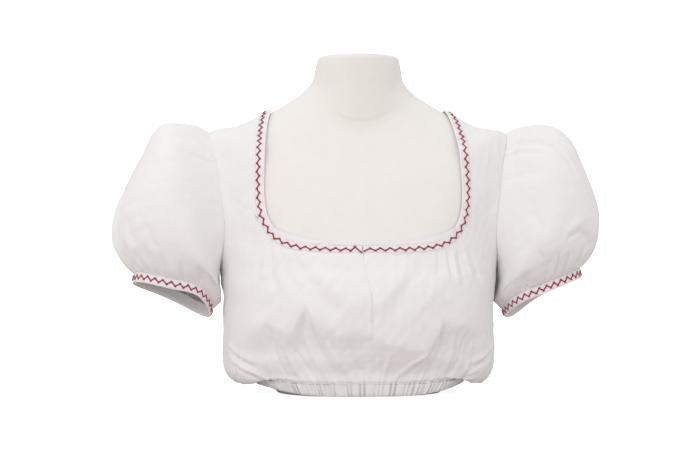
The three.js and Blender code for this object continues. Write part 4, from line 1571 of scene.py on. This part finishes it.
def back_shell(name: str, left: Array, right: Array, joined_rows: int, wall: float) -> Piece:
    """Joins the two halves of the back down its middle, and gives them their thickness.

    Args:
        name: The piece's name.
        left: The left half's places, from the middle outwards.
        right: The right half's.
        joined_rows: The last row where the halves share their middle.
        wall: The cloth's thickness.

    Returns:
        The piece.
    """
    rows, columns = left.shape[:2]
    count = rows * columns
    faces_left = grid_faces(rows, columns, closed=False, flip=True)
    faces_right = grid_faces(rows, columns, closed=False, flip=False) + count
    shared = np.arange(joined_rows + 1) * columns
    table = np.arange(2 * count)
    table[shared + count] = shared
    outer = np.vstack([faces_left, table[faces_right]])
    sides = ((left, True), (right, False))
    normals = np.concatenate([grid_normals(half, False, flip).reshape(-1, 3) for half, flip in sides])
    normals[shared] = unit(normals[shared] + normals[shared + count])
    places = np.concatenate([left.reshape(-1, 3), right.reshape(-1, 3)])
    inner = places - normals * wall
    edges = {(int(a), int(b)) for quad in outer for a, b in zip(quad, np.roll(quad, -1))}
    rim = [(a, b) for a, b in edges if (b, a) not in edges]
    edge = np.array([[b, a, a + 2 * count, b + 2 * count] for a, b in sorted(rim)])
    faces = np.vstack([outer, outer[:, ::-1] + 2 * count, edge])
    uv_left, uv_right = grid_uv(left, False).reshape(-1, 2), grid_uv(right, False).reshape(-1, 2)
    uv_left[:, 0] *= -1
    uv = np.concatenate([uv_left, uv_right])
    used = np.unique(faces)
    renumber = np.zeros(4 * count, dtype=int)
    renumber[used] = np.arange(len(used))
    verts = np.concatenate([places, inner])[used]
    return make_object(name, verts, renumber[faces], np.concatenate([uv, uv])[used])


@dataclass
class Neckband:
    """The band round the neckline, in a front part on each side and one at the back.

    Attributes:
        bodice: The panels that it lies on.
        lift: How far its surface stands off the panel.
        shoulder_turn: Over how many degrees it turns to meet the shoulder seam.
        stations: How many stations a part has along it.
        profile: Its section, as distances across it and off its surface.
    """

    bodice: Bodice
    lift: float = 0.75
    shoulder_turn: float = 16.0
    stations: int = 200
    profile: tuple[tuple[float, float], ...] = (
        (-0.8, -0.7), (-0.6, -0.25), (0.1, 0.0), (1.2, 0.1), (2.2, 0.0), (6.5, 0.05), (10.6, -0.05),
        (11.6, -0.15), (12.6, -0.4), (13.5, -0.72), (13.2, -0.95), (11.0, -0.9), (1.0, -0.9), (0.5, -2.2),
        (-0.6, -2.1), (-0.9, -1.4),
    )  # fmt: skip

    def strip(self, turns: Array, levels: Array, side: Side) -> Strip:
        """Lays out the surface of a part of the band."""
        body = self.bodice.body
        turn = side.value * turns
        places = body.place(turn, levels, 1)
        run = np.gradient(places, axis=0)
        away = unit(np.cross(body.normal(turn, levels), run)) * -side.value
        _, up = body.slopes(turn, levels)
        from_seam = np.abs(90 - np.minimum(turns, 360 - turns))
        share = (1 - smooth(0, self.shoulder_turn, from_seam))[:, None]
        away = unit(mix(away, -unit(up), share))
        columns = np.linspace(0, self.bodice.band, 14)
        surface, normals = [], []
        for across in columns:
            walked = body.walk(turn, levels, away, np.full_like(turn, across))
            normal = body.normal(*walked)
            surface.append(body.place(*walked, 1) + normal * self.lift)
            normals.append(normal)
        return Strip(np.stack(surface, axis=1), np.stack(normals, axis=1), self.bodice.band)

    def front_strip(self, side: Side) -> Strip:
        """The front part's surface, from the slit to the shoulder seam."""
        line = self.bodice.front_neckline
        level = np.array([line.levels[0]])
        first = float((side.value * self.bodice.centre_turn(level, side))[0])
        turns, levels = line.at(np.linspace(0, 1, self.stations * 2))
        keep = turns > first + 0.4
        share = np.linspace(0, 1, self.stations)
        turns = np.interp(share, np.linspace(0, 1, keep.sum() + 1), np.concatenate([[first], turns[keep]]))
        levels = np.interp(share, np.linspace(0, 1, keep.sum() + 1), np.concatenate([level, levels[keep]]))
        return self.strip(turns - 0.06 * share, levels, side)

    def back_strip(self) -> Strip:
        """The back part's surface, from the wearer's left shoulder to the right one."""
        turns, levels = self.bodice.back_neckline.at(np.linspace(0, 1, self.stations // 2))
        turns = turns + 0.06 * np.linspace(0, 1, len(turns))
        both = np.concatenate([turns[::-1], 360 - turns[1:]]), np.concatenate([levels[::-1], levels[1:]])
        return self.strip(*both, Side.LEFT)

    def make(self, name: str, strip: Strip, flip: bool) -> Piece:
        """Makes a part of the band."""
        waves = 0.18 * Wander(9, 90).at(strip.section(self.profile)[:, 3])
        lifts = np.zeros((len(strip.run), len(self.profile)))
        lifts[:, 2:9] = waves[:, None]
        return swept_band(name, strip.section(self.profile, lifts), closed=False, flip=flip)


@dataclass
class HemCasing:
    """The hem's casing, ruched by the elastic in it.

    Attributes:
        bodice: The blouse above it, whose gathers start in its ruches.
        stations: How many stations it has round it.
        depth: How much deeper its ruches are than the gathers above it.
        width: Its width, in millimetres.
        profile: Its section, as distances across it and off its surface.
    """

    bodice: Bodice
    stations: int = 1320
    depth: float = 2.1
    width: float = 19.0
    profile: tuple[tuple[float, float], ...] = (
        (0.0, -0.9), (0.15, -0.2), (0.9, 0.35), (3.0, 0.9), (6.5, 1.2), (10.0, 1.3), (13.2, 1.4), (15.2, 1.6),
        (16.2, 1.7), (17.2, 1.8), (18.2, 1.8), (19.0, 1.5), (19.2, 0.0), (17.0, -1.7), (9.0, -1.8),
        (1.2, -1.7),
    )  # fmt: skip

    def strip(self) -> Strip:
        """Lays out the casing's surface, with its ruches."""
        turn = np.linspace(-180, 180, self.stations + 1)
        levels = np.linspace(0, CASING_TOP, 14)
        grid_turn, grid_level = np.meshgrid(turn, levels, indexing="ij")
        places = self.bodice.body.place(grid_turn, grid_level, 1)
        normal = self.bodice.body.normal(grid_turn, np.full_like(grid_level, 0.5))
        normal[..., 2] = 0
        return Strip(places, unit(normal), self.width)

    def make(self) -> Piece:
        """Makes the casing."""
        strip = self.strip()
        turn = np.linspace(-180, 180, self.stations + 1)
        ruche = self.bodice.gathers.at(turn, np.zeros_like(turn))
        # how much of the ruches each place of the profile takes
        shares = np.array([0.7, 0.8, 0.95, 1.1, 1.15, 1.1, 1.05, 1.0, 0.9, 0.9, 0.9, 0.8, 0.7, 0.9, 0.9, 0.8])
        sections = strip.section(self.profile, self.depth * ruche[:, None] * shares)
        return swept_band("hem_casing_cloth", sections[:-1], closed=True)


class SleeveSection(NamedTuple):
    """One section of a sleeve: its outermost and innermost place as seen from the front, and its depths."""

    over_x: float
    over_z: float
    under_x: float
    under_z: float
    front: float
    back: float


SLEEVE_SECTIONS = [
    (201, 350, 187.5, 168, 50, 52),
    (218, 358.5, 187.4, 160, 56, 60),
    (240, 361, 187, 152, 65, 70),
    (262, 358, 186.3, 145, 75, 79),
    (282, 341, 185.6, 139, 83, 84),
    (298, 310, 185, 134, 88, 87),
    (314, 275, 184.4, 129.5, 88, 87),
    (326.5, 241, 184.2, 125.5, 84, 82),
    (327.5, 208, 185, 121.5, 76, 75),
    (318, 182, 189, 117.5, 65, 65),
    (301.5, 164.5, 195.5, 112.5, 54, 54),
]
SLEEVE_LENGTH = 240.0
SLEEVE_MM_PER_DEGREE = 1.3


@dataclass(frozen=True)
class SleeveHang:
    """How one sleeve hangs, in millimetres.

    Attributes:
        puff: How far it is fuller than the sections.
        hang: How far the cuff's outer end hangs lower.
        tip: How far its front edge tips up.
        arch: How far it arches at front and back.
        scoop: How far its front edge is drawn up towards the body.
        sag: How far its back edge sags there.
        folds: Its folds, by angle and share of the way from armhole to cuff.
        head: How high the gathers at its head stand.
        seed: Picks its unevenness.
    """

    puff: float
    hang: float
    tip: float
    arch: float
    scoop: float
    sag: float
    folds: tuple[Row, ...]
    head: float
    seed: int


LEFT_HANG = SleeveHang(
    puff=6,
    hang=0,
    tip=5.5,
    arch=2.5,
    scoop=6,
    sag=8,
    folds=(
        (18, 0.02, 10, 0.17, 1.4, 3, -1.8), (31, 0.02, 33, 0.44, 1.6, 3, -2.8),
        (41, 0.02, 47, 0.48, 1.6, 3.2, -3.2), (36, 0.02, 40, 0.40, 3, 6, 1.8),
        (52, 0.02, 54, 0.26, 1.6, 4, -1.8), (47, 0.02, 53, 0.34, 3, 6, 1.5),
        (46, 0.07, 74, 0.11, 4, 7, -2), (76, 0.03, 68, 0.30, 2.4, 6, -1.6),
        (12, 0.02, 9, 0.32, 2.4, 7, -2), (-10, 0.02, -10, 0.34, 2.4, 7, -2),
        (-32, 0.02, -27, 0.40, 2.4, 8, -2.3), (-54, 0.02, -44, 0.38, 2.4, 8, -2.3),
        (-74, 0.03, -66, 0.30, 2.4, 6, -1.6),
        # the dimple above the cuff, and the ridge over it
        (81, 0.68, 63, 0.70, 2.4, 3.2, -3), (66, 0.70, 44, 0.82, 3, 7, -3.2),
        (80, 0.635, 56, 0.66, 5, 6, 2), (50, 0.74, 34, 0.86, 4, 5, 1.8),
        (97, 0.28, 95, 0.50, 2.4, 4.5, -2.2), (108, 0.55, 99, 0.80, 2.2, 3.2, -2.2),
        (89, 0.73, 85, 0.92, 2, 2.5, -2.2), (-40, 0.62, -66, 0.74, 7, 6, -3.6),
        (-30, 0.55, -62, 0.64, 7, 7, 2.4),
        # gathers over the cuff
        (79, 0.75, 73, 1.02, 2.2, 2.5, -3), (58, 0.78, 60, 1.02, 3.4, 2.5, -3.2),
        (47, 0.82, 47, 1.02, 4, 2.2, -2.4), (36, 0.76, 38, 1.02, 5, 2.5, -3.2),
        (22, 0.80, 24, 1.02, 5, 2.4, -2.8), (6, 0.78, 8, 1.02, 5, 2.6, -3),
        (-14, 0.80, -14, 1.02, 5, 2.4, -2.8), (-34, 0.76, -36, 1.02, 5, 2.6, -3.2),
        (-56, 0.80, -58, 1.02, 5, 2.4, -3), (-80, 0.78, -82, 1.02, 5, 2.6, -3),
        (98, 0.76, 96, 1.02, 5, 2.6, -3), (122, 0.72, 118, 1.02, 6, 3, -2.8),
        (-104, 0.76, -102, 1.02, 5, 2.6, -2.8), (-128, 0.70, -124, 1.02, 6, 3, -2.6),
        # slack under the arm
        (140, 0.35, 150, 0.85, 9, 9, -2.6), (-140, 0.35, -150, 0.85, 9, 9, -2.6),
    ),  # fmt: skip
    head=1.5,
    seed=11,
)

RIGHT_HANG = SleeveHang(
    puff=-3,
    hang=6,
    tip=8,
    arch=6,
    scoop=13,
    sag=2,
    folds=(
        (24, 0.02, 18, 0.30, 2.4, 7, -1.5), (44, 0.02, 36, 0.30, 2.4, 7, -1.6),
        (62, 0.02, 54, 0.28, 2.6, 7, -1.4), (4, 0.02, 4, 0.26, 2.4, 7, -1.4),
        (-18, 0.02, -16, 0.36, 2.4, 7, -2), (-40, 0.02, -34, 0.38, 2.4, 8, -2.2),
        (-60, 0.02, -50, 0.36, 2.4, 8, -2),
        # a faint slant across the puff, and the fold down its outer edge
        (50, 0.42, 26, 0.50, 7, 7, -1.3), (10, 0.60, 30, 0.92, 7, 5, -3.6),
        (0, 0.58, 16, 0.86, 6, 5, 2.6),
        # dimples above the cuff
        (40, 0.70, 54, 0.80, 6, 6, -2.2), (62, 0.66, 80, 0.76, 7, 6, -1.6),
        (-44, 0.62, -70, 0.76, 7, 6, -3.6), (-30, 0.56, -60, 0.66, 7, 7, 2.4),
        # gathers over the cuff
        (84, 0.80, 86, 1.02, 5, 2.4, -3), (68, 0.78, 70, 1.02, 5, 2.5, -3.2),
        (52, 0.82, 53, 1.02, 4.5, 2.3, -2.8), (38, 0.80, 39, 1.02, 5, 2.4, -3),
        (20, 0.78, 22, 1.02, 5, 2.6, -3.2), (2, 0.80, 4, 1.02, 5, 2.4, -3),
        (-20, 0.78, -20, 1.02, 5, 2.5, -3), (-42, 0.80, -44, 1.02, 5, 2.4, -3),
        (-64, 0.78, -66, 1.02, 5, 2.6, -3.2), (-90, 0.80, -92, 1.02, 5, 2.5, -3),
        (104, 0.76, 102, 1.02, 5, 2.6, -3), (128, 0.72, 124, 1.02, 6, 3, -2.6),
        (-112, 0.74, -108, 1.02, 6, 2.6, -2.8), (-134, 0.72, -130, 1.02, 6, 3, -2.6),
        (142, 0.35, 150, 0.85, 9, 9, -2.6), (-142, 0.35, -150, 0.85, 9, 9, -2.6),
    ),  # fmt: skip
    head=0.9,
    seed=23,
)


@dataclass
class PuffSleeve:
    """A short puff sleeve with its cuff.

    Attributes:
        body: The form that its armhole lies on.
        side: The wearer's side.
        hang: How it hangs.
        wall: The cloth's thickness, in millimetres.
        fill: How much squarer than an ellipse a section is.
        seam_gap: The space at the armhole and at the cuff.
        rows: How many rows of places run from armhole to cuff.
        steps: How many places a row has.
        cuff_height: The cuff's height.
        cuff_flare: Its lower edge's size to its upper edge's.
        cuff_lean: How much of the sleeve end's outward slant the cuff keeps.
        cuff_ruches: How many ruches the cuff has.
        cuff_profile: The cuff's section, as distances across it and off its surface.
    """

    body: BodySurface
    side: Side
    hang: SleeveHang
    wall: float = 1.1
    fill: float = 0.06
    seam_gap: float = 0.08
    rows: int = 92
    steps: int = 320
    cuff_height: float = 13.0
    cuff_flare: float = 0.975
    cuff_lean: float = 0.55
    cuff_ruches: int = 48
    cuff_profile: tuple[tuple[float, float], ...] = (
        (0.0, -0.7), (0.1, -0.1), (0.8, 0.15), (1.6, 0.05), (2.4, 0.2), (6.5, 0.35), (10.6, 0.2),
        (11.4, 0.05), (12.2, 0.15), (12.9, -0.1), (13.0, -0.8), (12.3, -1.45), (6.5, -1.5), (0.8, -1.5),
        (-3.0, -2.1), (-3.0, -1.4), (-0.1, -1.2),
    )  # fmt: skip

    def place(self, along: Array, angle: Array) -> Array:
        """A place on the smooth sleeve, on the wearer's left.

        Args:
            along: The shares of the way from armhole to cuff.
            angle: The angles, in degrees.

        Returns:
            The places, with x, y and z as the last axis.
        """
        table = np.array(SLEEVE_SECTIONS, dtype=float)
        s = SleeveSection(*np.moveaxis(read_table(table, along * (len(table) - 1)), -1, 0))
        first = SleeveSection(*SLEEVE_SECTIONS[0])
        sine, cosine = np.sin(np.radians(angle)), np.cos(np.radians(angle))
        share = (1 + cosine * (1 + self.fill * sine**2)) / 2
        aside = sine * (1 + self.fill * cosine**2)

        def inside(section: SleeveSection) -> Array:
            """Places on a section of the sleeve."""
            y = -np.where(sine > 0, section.front, section.back) * aside
            x = mix(section.under_x, section.over_x, share)
            return np.stack([x, y, mix(section.under_z, section.over_z, share)], axis=-1)

        places = inside(s)
        edge = armhole(angle)
        seam = self.body.place(*edge, 1) + self.body.normal(*edge) * seam_rise(angle)[..., None]
        seam[..., 0] += self.seam_gap
        places += (seam - inside(first)) * (1 - smooth(0, 0.3, along))[..., None]
        hang = self.hang
        places[..., 0] += hang.puff * share * np.exp(-(((along - 0.42) / 0.2) ** 2))
        places[..., 2] -= hang.hang * share * smooth(0.5, 0.95, along)
        forward = np.where(angle > 180, angle - 360, angle)
        scoop = hang.scoop * np.exp(-(((forward - 132) / 36) ** 2)) * (1 - smooth(160, 180, forward))
        sag = hang.sag * np.exp(-(((forward + 128) / 30) ** 2))
        tipping = hang.arch * sine**2 - hang.tip * places[..., 1] / s.front + scoop - sag
        places[..., 2] += tipping * smooth(0.4, 0.82, along)
        return places

    def relief(self, along: Array, angle: Array, places: Array) -> Array:
        """How far the folds and gathers lift the cloth.

        Args:
            along: The shares of the way from armhole to cuff.
            angle: The angles, in degrees.
            places: The smooth sleeve's places there.

        Returns:
            The heights, in millimetres.
        """
        signed = np.where(angle > 180, angle - 360, angle)
        lift = fold_heights(self.hang.folds, signed, along, (SLEEVE_MM_PER_DEGREE, SLEEVE_LENGTH))
        seed = self.hang.seed
        top = np.clip(np.cos(np.radians(signed) * 0.85), 0, 1) ** 0.7
        head = Gathers(count=60, height=self.hang.head, reach=14, growth=1.2, sets=3, seed=seed)
        lift += head.at(angle, along * SLEEVE_LENGTH) * top * smooth(0, 0.015, along)
        cuff = Gathers(count=self.cuff_ruches, height=1.15, reach=11, growth=1.3, sets=3, seed=seed + 40)
        lift += cuff.at(angle, (1 - along) * SLEEVE_LENGTH)
        between = smooth(0.05, 0.3, along) * (1 - smooth(0.85, 1, along))
        lift += 1.2 * Wander(70, seed + 2).at(places) * between
        lift += 0.3 * Wander(20, seed + 3).at(places)
        lift *= smooth(-0.02, 0.06, along)
        return lift * mix(1.0, 0.5, smooth(0.97, 1.0, along))

    def mirror(self, places: Array) -> Array:
        """Carries places on the wearer's left over to this sleeve's side."""
        return places * np.array([self.side.value, 1, 1])

    def make(self) -> Piece:
        """Makes the sleeve."""
        turns = np.arange(self.steps) * 360 / self.steps
        along, angle = np.meshgrid(np.linspace(0, 1, self.rows + 1), turns, indexing="ij")
        places = self.place(along, angle)
        normal = grid_normals(places, closed=True, flip=False)
        places = places + normal * self.relief(along, angle, places)[..., None]
        name, flip = f"sleeve_{self.side.word}_cloth", self.side is Side.RIGHT
        return cloth_shell(name, self.mirror(places), self.wall, closed=True, flip=flip)

    def cuff_strip(self) -> Strip:
        """Lays out the cuff's surface."""
        angle = np.linspace(0, 360, self.steps * 2 + 1)
        rim = self.place(np.ones_like(angle), angle)
        over, under, front, back = self.place(np.ones(4), np.array([0.0, 180.0, 90.0, 270.0]))
        middle = (over + under) / 2
        down = unit(np.cross(over - under, front - back))
        square = down.copy()
        down[0] *= self.cuff_lean
        down = unit(down)
        seed = self.hang.seed + 40
        gather = Gathers(count=self.cuff_ruches, height=0.42, reach=11, growth=1.0, sets=1, seed=seed)
        lift = gather.at(angle, np.zeros_like(angle))
        run = np.gradient(rim, axis=0)
        run[0] = run[-1] = rim[1] - rim[-2]
        normal = unit(np.cross(run, square))
        columns = np.linspace(0, 1, 14)
        places = np.stack(
            [
                (rim - middle) * mix(1, self.cuff_flare, c)
                + middle
                + down * (self.seam_gap + c * self.cuff_height)
                + normal * (lift * mix(1.0, 0.45, c))[:, None]
                for c in columns
            ],
            axis=1,
        )
        normals = np.repeat(normal[:, None], len(columns), axis=1)
        return Strip(self.mirror(places), self.mirror(normals), self.cuff_height)

    def make_cuff(self, strip: Strip) -> Piece:
        """Makes the cuff."""
        sections = strip.section(self.cuff_profile)[:-1]
        return swept_band(f"cuff_{self.side.word}_cloth", sections, closed=True, flip=self.side is Side.LEFT)


@dataclass
class BustForm:
    """The limbless bust form, covered in jersey.

    Attributes:
        body: Its shape.
        steps: How many places a ring has.
        rows: How many rings there are.
    """

    body: BodySurface
    steps: int = 240
    rows: int = 170

    def make(self) -> Piece:
        """Makes the form, closed at its base and at the top of its neck."""
        levels = np.concatenate([np.linspace(0, TOP - 2, self.rows), np.linspace(TOP - 2, TOP, 14)[1:]])
        level, turn = np.meshgrid(levels, 180 + np.arange(self.steps) * 360 / self.steps, indexing="ij")
        places = self.body.place(turn, level, 0)
        normal = self.body.normal(turn, level, 0)
        signed = np.where(turn > 180, turn - 360, turn)
        crease = Fold(-34, 17.15, 40, 17.2, 1.4, 1.2, -1.4)
        lift = fold_heights([crease], signed, level, (1.2, 18.0))
        lift += 0.35 * Wander(60, 5).at(places)
        lift *= smooth(0, 1, level) * (1 - smooth(TOP - 2.5, TOP - 1.5, level))
        places = places + normal * lift[..., None]
        faces: list[Sequence[int]] = grid_faces(len(levels), self.steps, closed=True, flip=False).tolist()
        top, foot = places[-1], places[0]
        verts = [places.reshape(-1, 3)]
        uvs = [grid_uv(places, closed=True).reshape(-1, 2)]
        count = places.shape[0] * self.steps
        for rim, first, flip in ((foot, 0, True), (top, count - self.steps, False)):
            middle = rim.mean(axis=0)
            previous = np.arange(first, first + self.steps)
            for share in (0.66, 0.33):
                ring_places = middle + (rim - middle) * share
                ring_places[:, 2] += 0 if flip else 1.2 * (1 - share)
                verts.append(ring_places)
                uvs.append(ring_places[:, :2] * MM)
                here = np.arange(count, count + self.steps)
                count += self.steps
                quads = np.stack([previous, np.roll(previous, -1), np.roll(here, -1), here], axis=-1)
                faces += (quads[:, ::-1] if flip else quads).tolist()
                previous = here
            verts.append(middle[None] + np.array([0, 0, 0 if flip else 1.2]))
            uvs.append(middle[None, :2] * MM)
            fan = np.stack([previous, np.roll(previous, -1), np.full(self.steps, count)], axis=-1)
            faces += (fan[:, ::-1] if flip else fan).tolist()
            count += 1
        wrap = float(uvs[0][:, 0].max()) * self.steps / (self.steps - 1)
        return make_object("bust_form_jersey", np.vstack(verts), faces, np.vstack(uvs), wrap)


# Floor, lights and camera


@dataclass
class Studio:
    """A round pale floor that curves up to a white wall all round, soft lights and the camera.

    Attributes:
        distance: The camera's distance from the middle of the part, in millimetres.
        azimuth: How far the camera stands round from the front, in degrees.
        height: Its height.
        aside: How far it stands to the left of that line.
        lens: Its focal length, on a sensor 36 mm wide.
        lamp_size: How wide each light is, in metres.
    """

    distance: float = 2600.0
    azimuth: float = -5.0
    height: float = 213.0
    aside: float = 11.5
    lens: float = 99.05
    lamp_size: float = 1.4

    def floor(self) -> None:
        """Makes the flat floor, and the wall round it, which only the camera sees."""
        reach, radius, rise, steps = 4600.0, 1400.0, 7000.0, 64
        turn = np.arange(steps) * 2 * math.pi / steps
        bend = np.linspace(0, math.pi / 2, 13)
        outs = [0.5, reach, *(reach + radius * np.sin(bend[1:])), reach + radius, 0.5]
        ups = [0.0, 0.0, *(radius - radius * np.cos(bend[1:])), rise, rise]
        clear = 0.6
        circle = np.stack([np.cos(turn), np.sin(turn), 0 * turn], axis=-1)
        rings = np.array([circle * r + np.array([0, 0, z - clear]) for r, z in zip(outs, ups)])
        floor = make_object("studio_floor", rings[:2].reshape(-1, 3), grid_faces(2, steps, True, True))
        faces = grid_faces(len(outs) - 1, steps, True, True)
        wall = make_object("studio_wall", rings[1:].reshape(-1, 3), faces)
        for ray in ("diffuse", "glossy", "transmission", "volume_scatter", "shadow"):
            setattr(wall, f"visible_{ray}", False)
        material = bpy.data.materials.new("studio_white")
        material.use_nodes = True
        shader = Shader(material.node_tree)
        principled = material.node_tree.nodes["Principled BSDF"]
        fill(principled, {"Base Color": (0.92, 0.92, 0.925, 1), "Roughness": 0.9})
        fill(principled, {"Emission Color": (1, 1, 1, 1), "Emission Strength": 0.85})
        # the floor gives back less light than it shows, as a stand would that holds the form clear of it
        dim = shader.node("ShaderNodeBsdfDiffuse", Color=(0.68, 0.63, 0.61, 1))
        seen = shader.node("ShaderNodeLightPath").outputs["Is Camera Ray"]
        both = shader.node("ShaderNodeMixShader", in1=seen, in2=dim.outputs[0], in3=principled.outputs[0])
        shader.tree.links.new(both.outputs[0], material.node_tree.nodes["Material Output"].inputs["Surface"])
        for piece in (floor, wall):
            piece.data.materials.append(material)

    def lamp(
        self, name: str, place: tuple[float, float, float], power: float, tint: tuple[float, float, float]
    ) -> None:
        """Adds a square soft light that points at the middle of the blouse.

        Args:
            name: Its name.
            place: Where it stands, in metres.
            power: Its power, in watts.
            tint: Its colour.
        """
        light = bpy.data.lights.new(name, "AREA")
        light.shape = "SQUARE"
        light.size = self.lamp_size
        light.energy = power
        light.color = tint
        obj = add_object(name, light)
        obj.location = place
        obj.rotation_euler = turned_to(np.array(place) - np.array([0.0, 0.0, 0.25]))

    def lights(self) -> None:
        """Adds the lights and the pale surroundings."""
        self.lamp("key", (-1.2, -2.0, 1.3), 11, (1.0, 0.99, 0.985))
        self.lamp("second", (1.2, -2.0, 1.3), 1, (1.0, 0.995, 0.99))
        self.lamp("back", (0.0, 1.3, 1.6), 1, (1.0, 1.0, 1.0))
        world = bpy.data.worlds.new("studio")
        world.use_nodes = True
        fill(world.node_tree.nodes["Background"], {"Color": (1, 0.992, 0.99, 1), "Strength": 0.855})
        bpy.context.scene.world = world
        bpy.context.scene.view_settings.view_transform = "Standard"

    def camera(self) -> None:
        """Adds the camera at the photograph's place."""
        a = math.radians(self.azimuth)
        right = np.array([math.cos(a), math.sin(a), 0.0])
        place = np.array([math.sin(a), -math.cos(a), 0.0]) * self.distance - right * self.aside
        camera = bpy.data.cameras.new("camera")
        camera.lens = self.lens
        camera.sensor_width = 36.0
        camera.dof.use_dof = False
        obj = add_object("camera", camera)
        obj.location = (place[0] * MM, place[1] * MM, self.height * MM)
        obj.rotation_euler = (math.pi / 2, 0.0, a)
        bpy.context.scene.camera = obj


def turned_to(away: Array) -> tuple[float, float, float]:
    """The Euler angles of a light that shines against a direction."""
    x, y, z = away / np.linalg.norm(away)
    return math.acos(z), 0.0, math.atan2(y, x) + math.pi / 2


def dress(piece: Piece, material: Material, slot: str, *nodes: str) -> Piece:
    """Gives a piece its material, and reports it with the nodes that it stands for."""
    piece.data.materials.append(material)
    return report(piece, slot, *nodes)


def main() -> None:
    """Builds the studio, the bust form and the blouse."""
    logging.basicConfig(level=logging.INFO, format="%(name)s: %(message)s")
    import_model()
    studio = Studio()
    studio.camera()
    studio.floor()
    studio.lights()
    finishes = make_finishes()
    cotton = finishes.cotton
    body = BodySurface()
    bodice = Bodice(body)
    neckband = Neckband(bodice)
    casing = HemCasing(bodice)
    red = Threads("red_stitches", width=1.8, height=1.0, arch=0.5, profile_sides=8, steps=9)
    white = Threads("white_stitches", width=0.4, height=0.2, arch=0.08, profile_sides=5, steps=4)

    form = dress(BustForm(body).make(), finishes.jersey, "cream_jersey", "bust_form")

    for side in Side:
        front = dress(bodice.front(side), cotton, "white_cotton", f"front_{side.word}")
    back = dress(bodice.back(), cotton, "white_cotton", "back")

    for side in Side:
        strip = neckband.front_strip(side)
        band = neckband.make(f"neckband_{side.word}_cloth", strip, flip=side is Side.RIGHT)
        dress(band, cotton, "white_cotton", f"neckband_{side.word}")
        for across in BAND_SEAMS:
            topstitch(white, strip, across, start=1.0)
        # the stitch beside the slit is larger on the wearer's right
        start, first = (2.0, 0.0) if side is Side.LEFT else (1.5, 1.5)
        row = Herringbone(height=6.9, centre=7.3, first=first)
        row.sew(red, strip, start, strip.length - 1.5, (13.4, 10.6), 7)
    strip = neckband.back_strip()
    band = neckband.make("neckband_back_cloth", strip, flip=False)
    dress(band, cotton, "white_cotton", "neckband_back")
    for across in BAND_SEAMS:
        topstitch(white, strip, across)
    Herringbone(height=6.9, centre=7.3).sew(red, strip, 1.5, strip.length - 1.5, (11.2, 11.2), 9)

    piece = dress(casing.make(), cotton, "white_cotton", "hem_casing")

    stitching = {Side.LEFT: (10.7, 8.8, LEFT_HANG), Side.RIGHT: (11.2, 7.8, RIGHT_HANG)}
    for side, (period, height, hang) in stitching.items():
        sleeve = PuffSleeve(body, side, hang)
        piece = dress(sleeve.make(), cotton, "white_cotton", f"sleeve_{side.word}")
        strip = sleeve.cuff_strip()
        piece = dress(sleeve.make_cuff(strip), cotton, "white_cotton", f"cuff_{side.word}")
        for across in CUFF_SEAMS:
            topstitch(white, strip, across)
        row = Herringbone(height=height, centre=6.6)
        row.sew(red, strip, 0.0, strip.length, (period, period), 13 + side.value)

    white.sew(finishes.white_thread, "white_cotton")
    red.sew(finishes.red_thread, "red_thread")


if __name__ == "__main__":
    main()
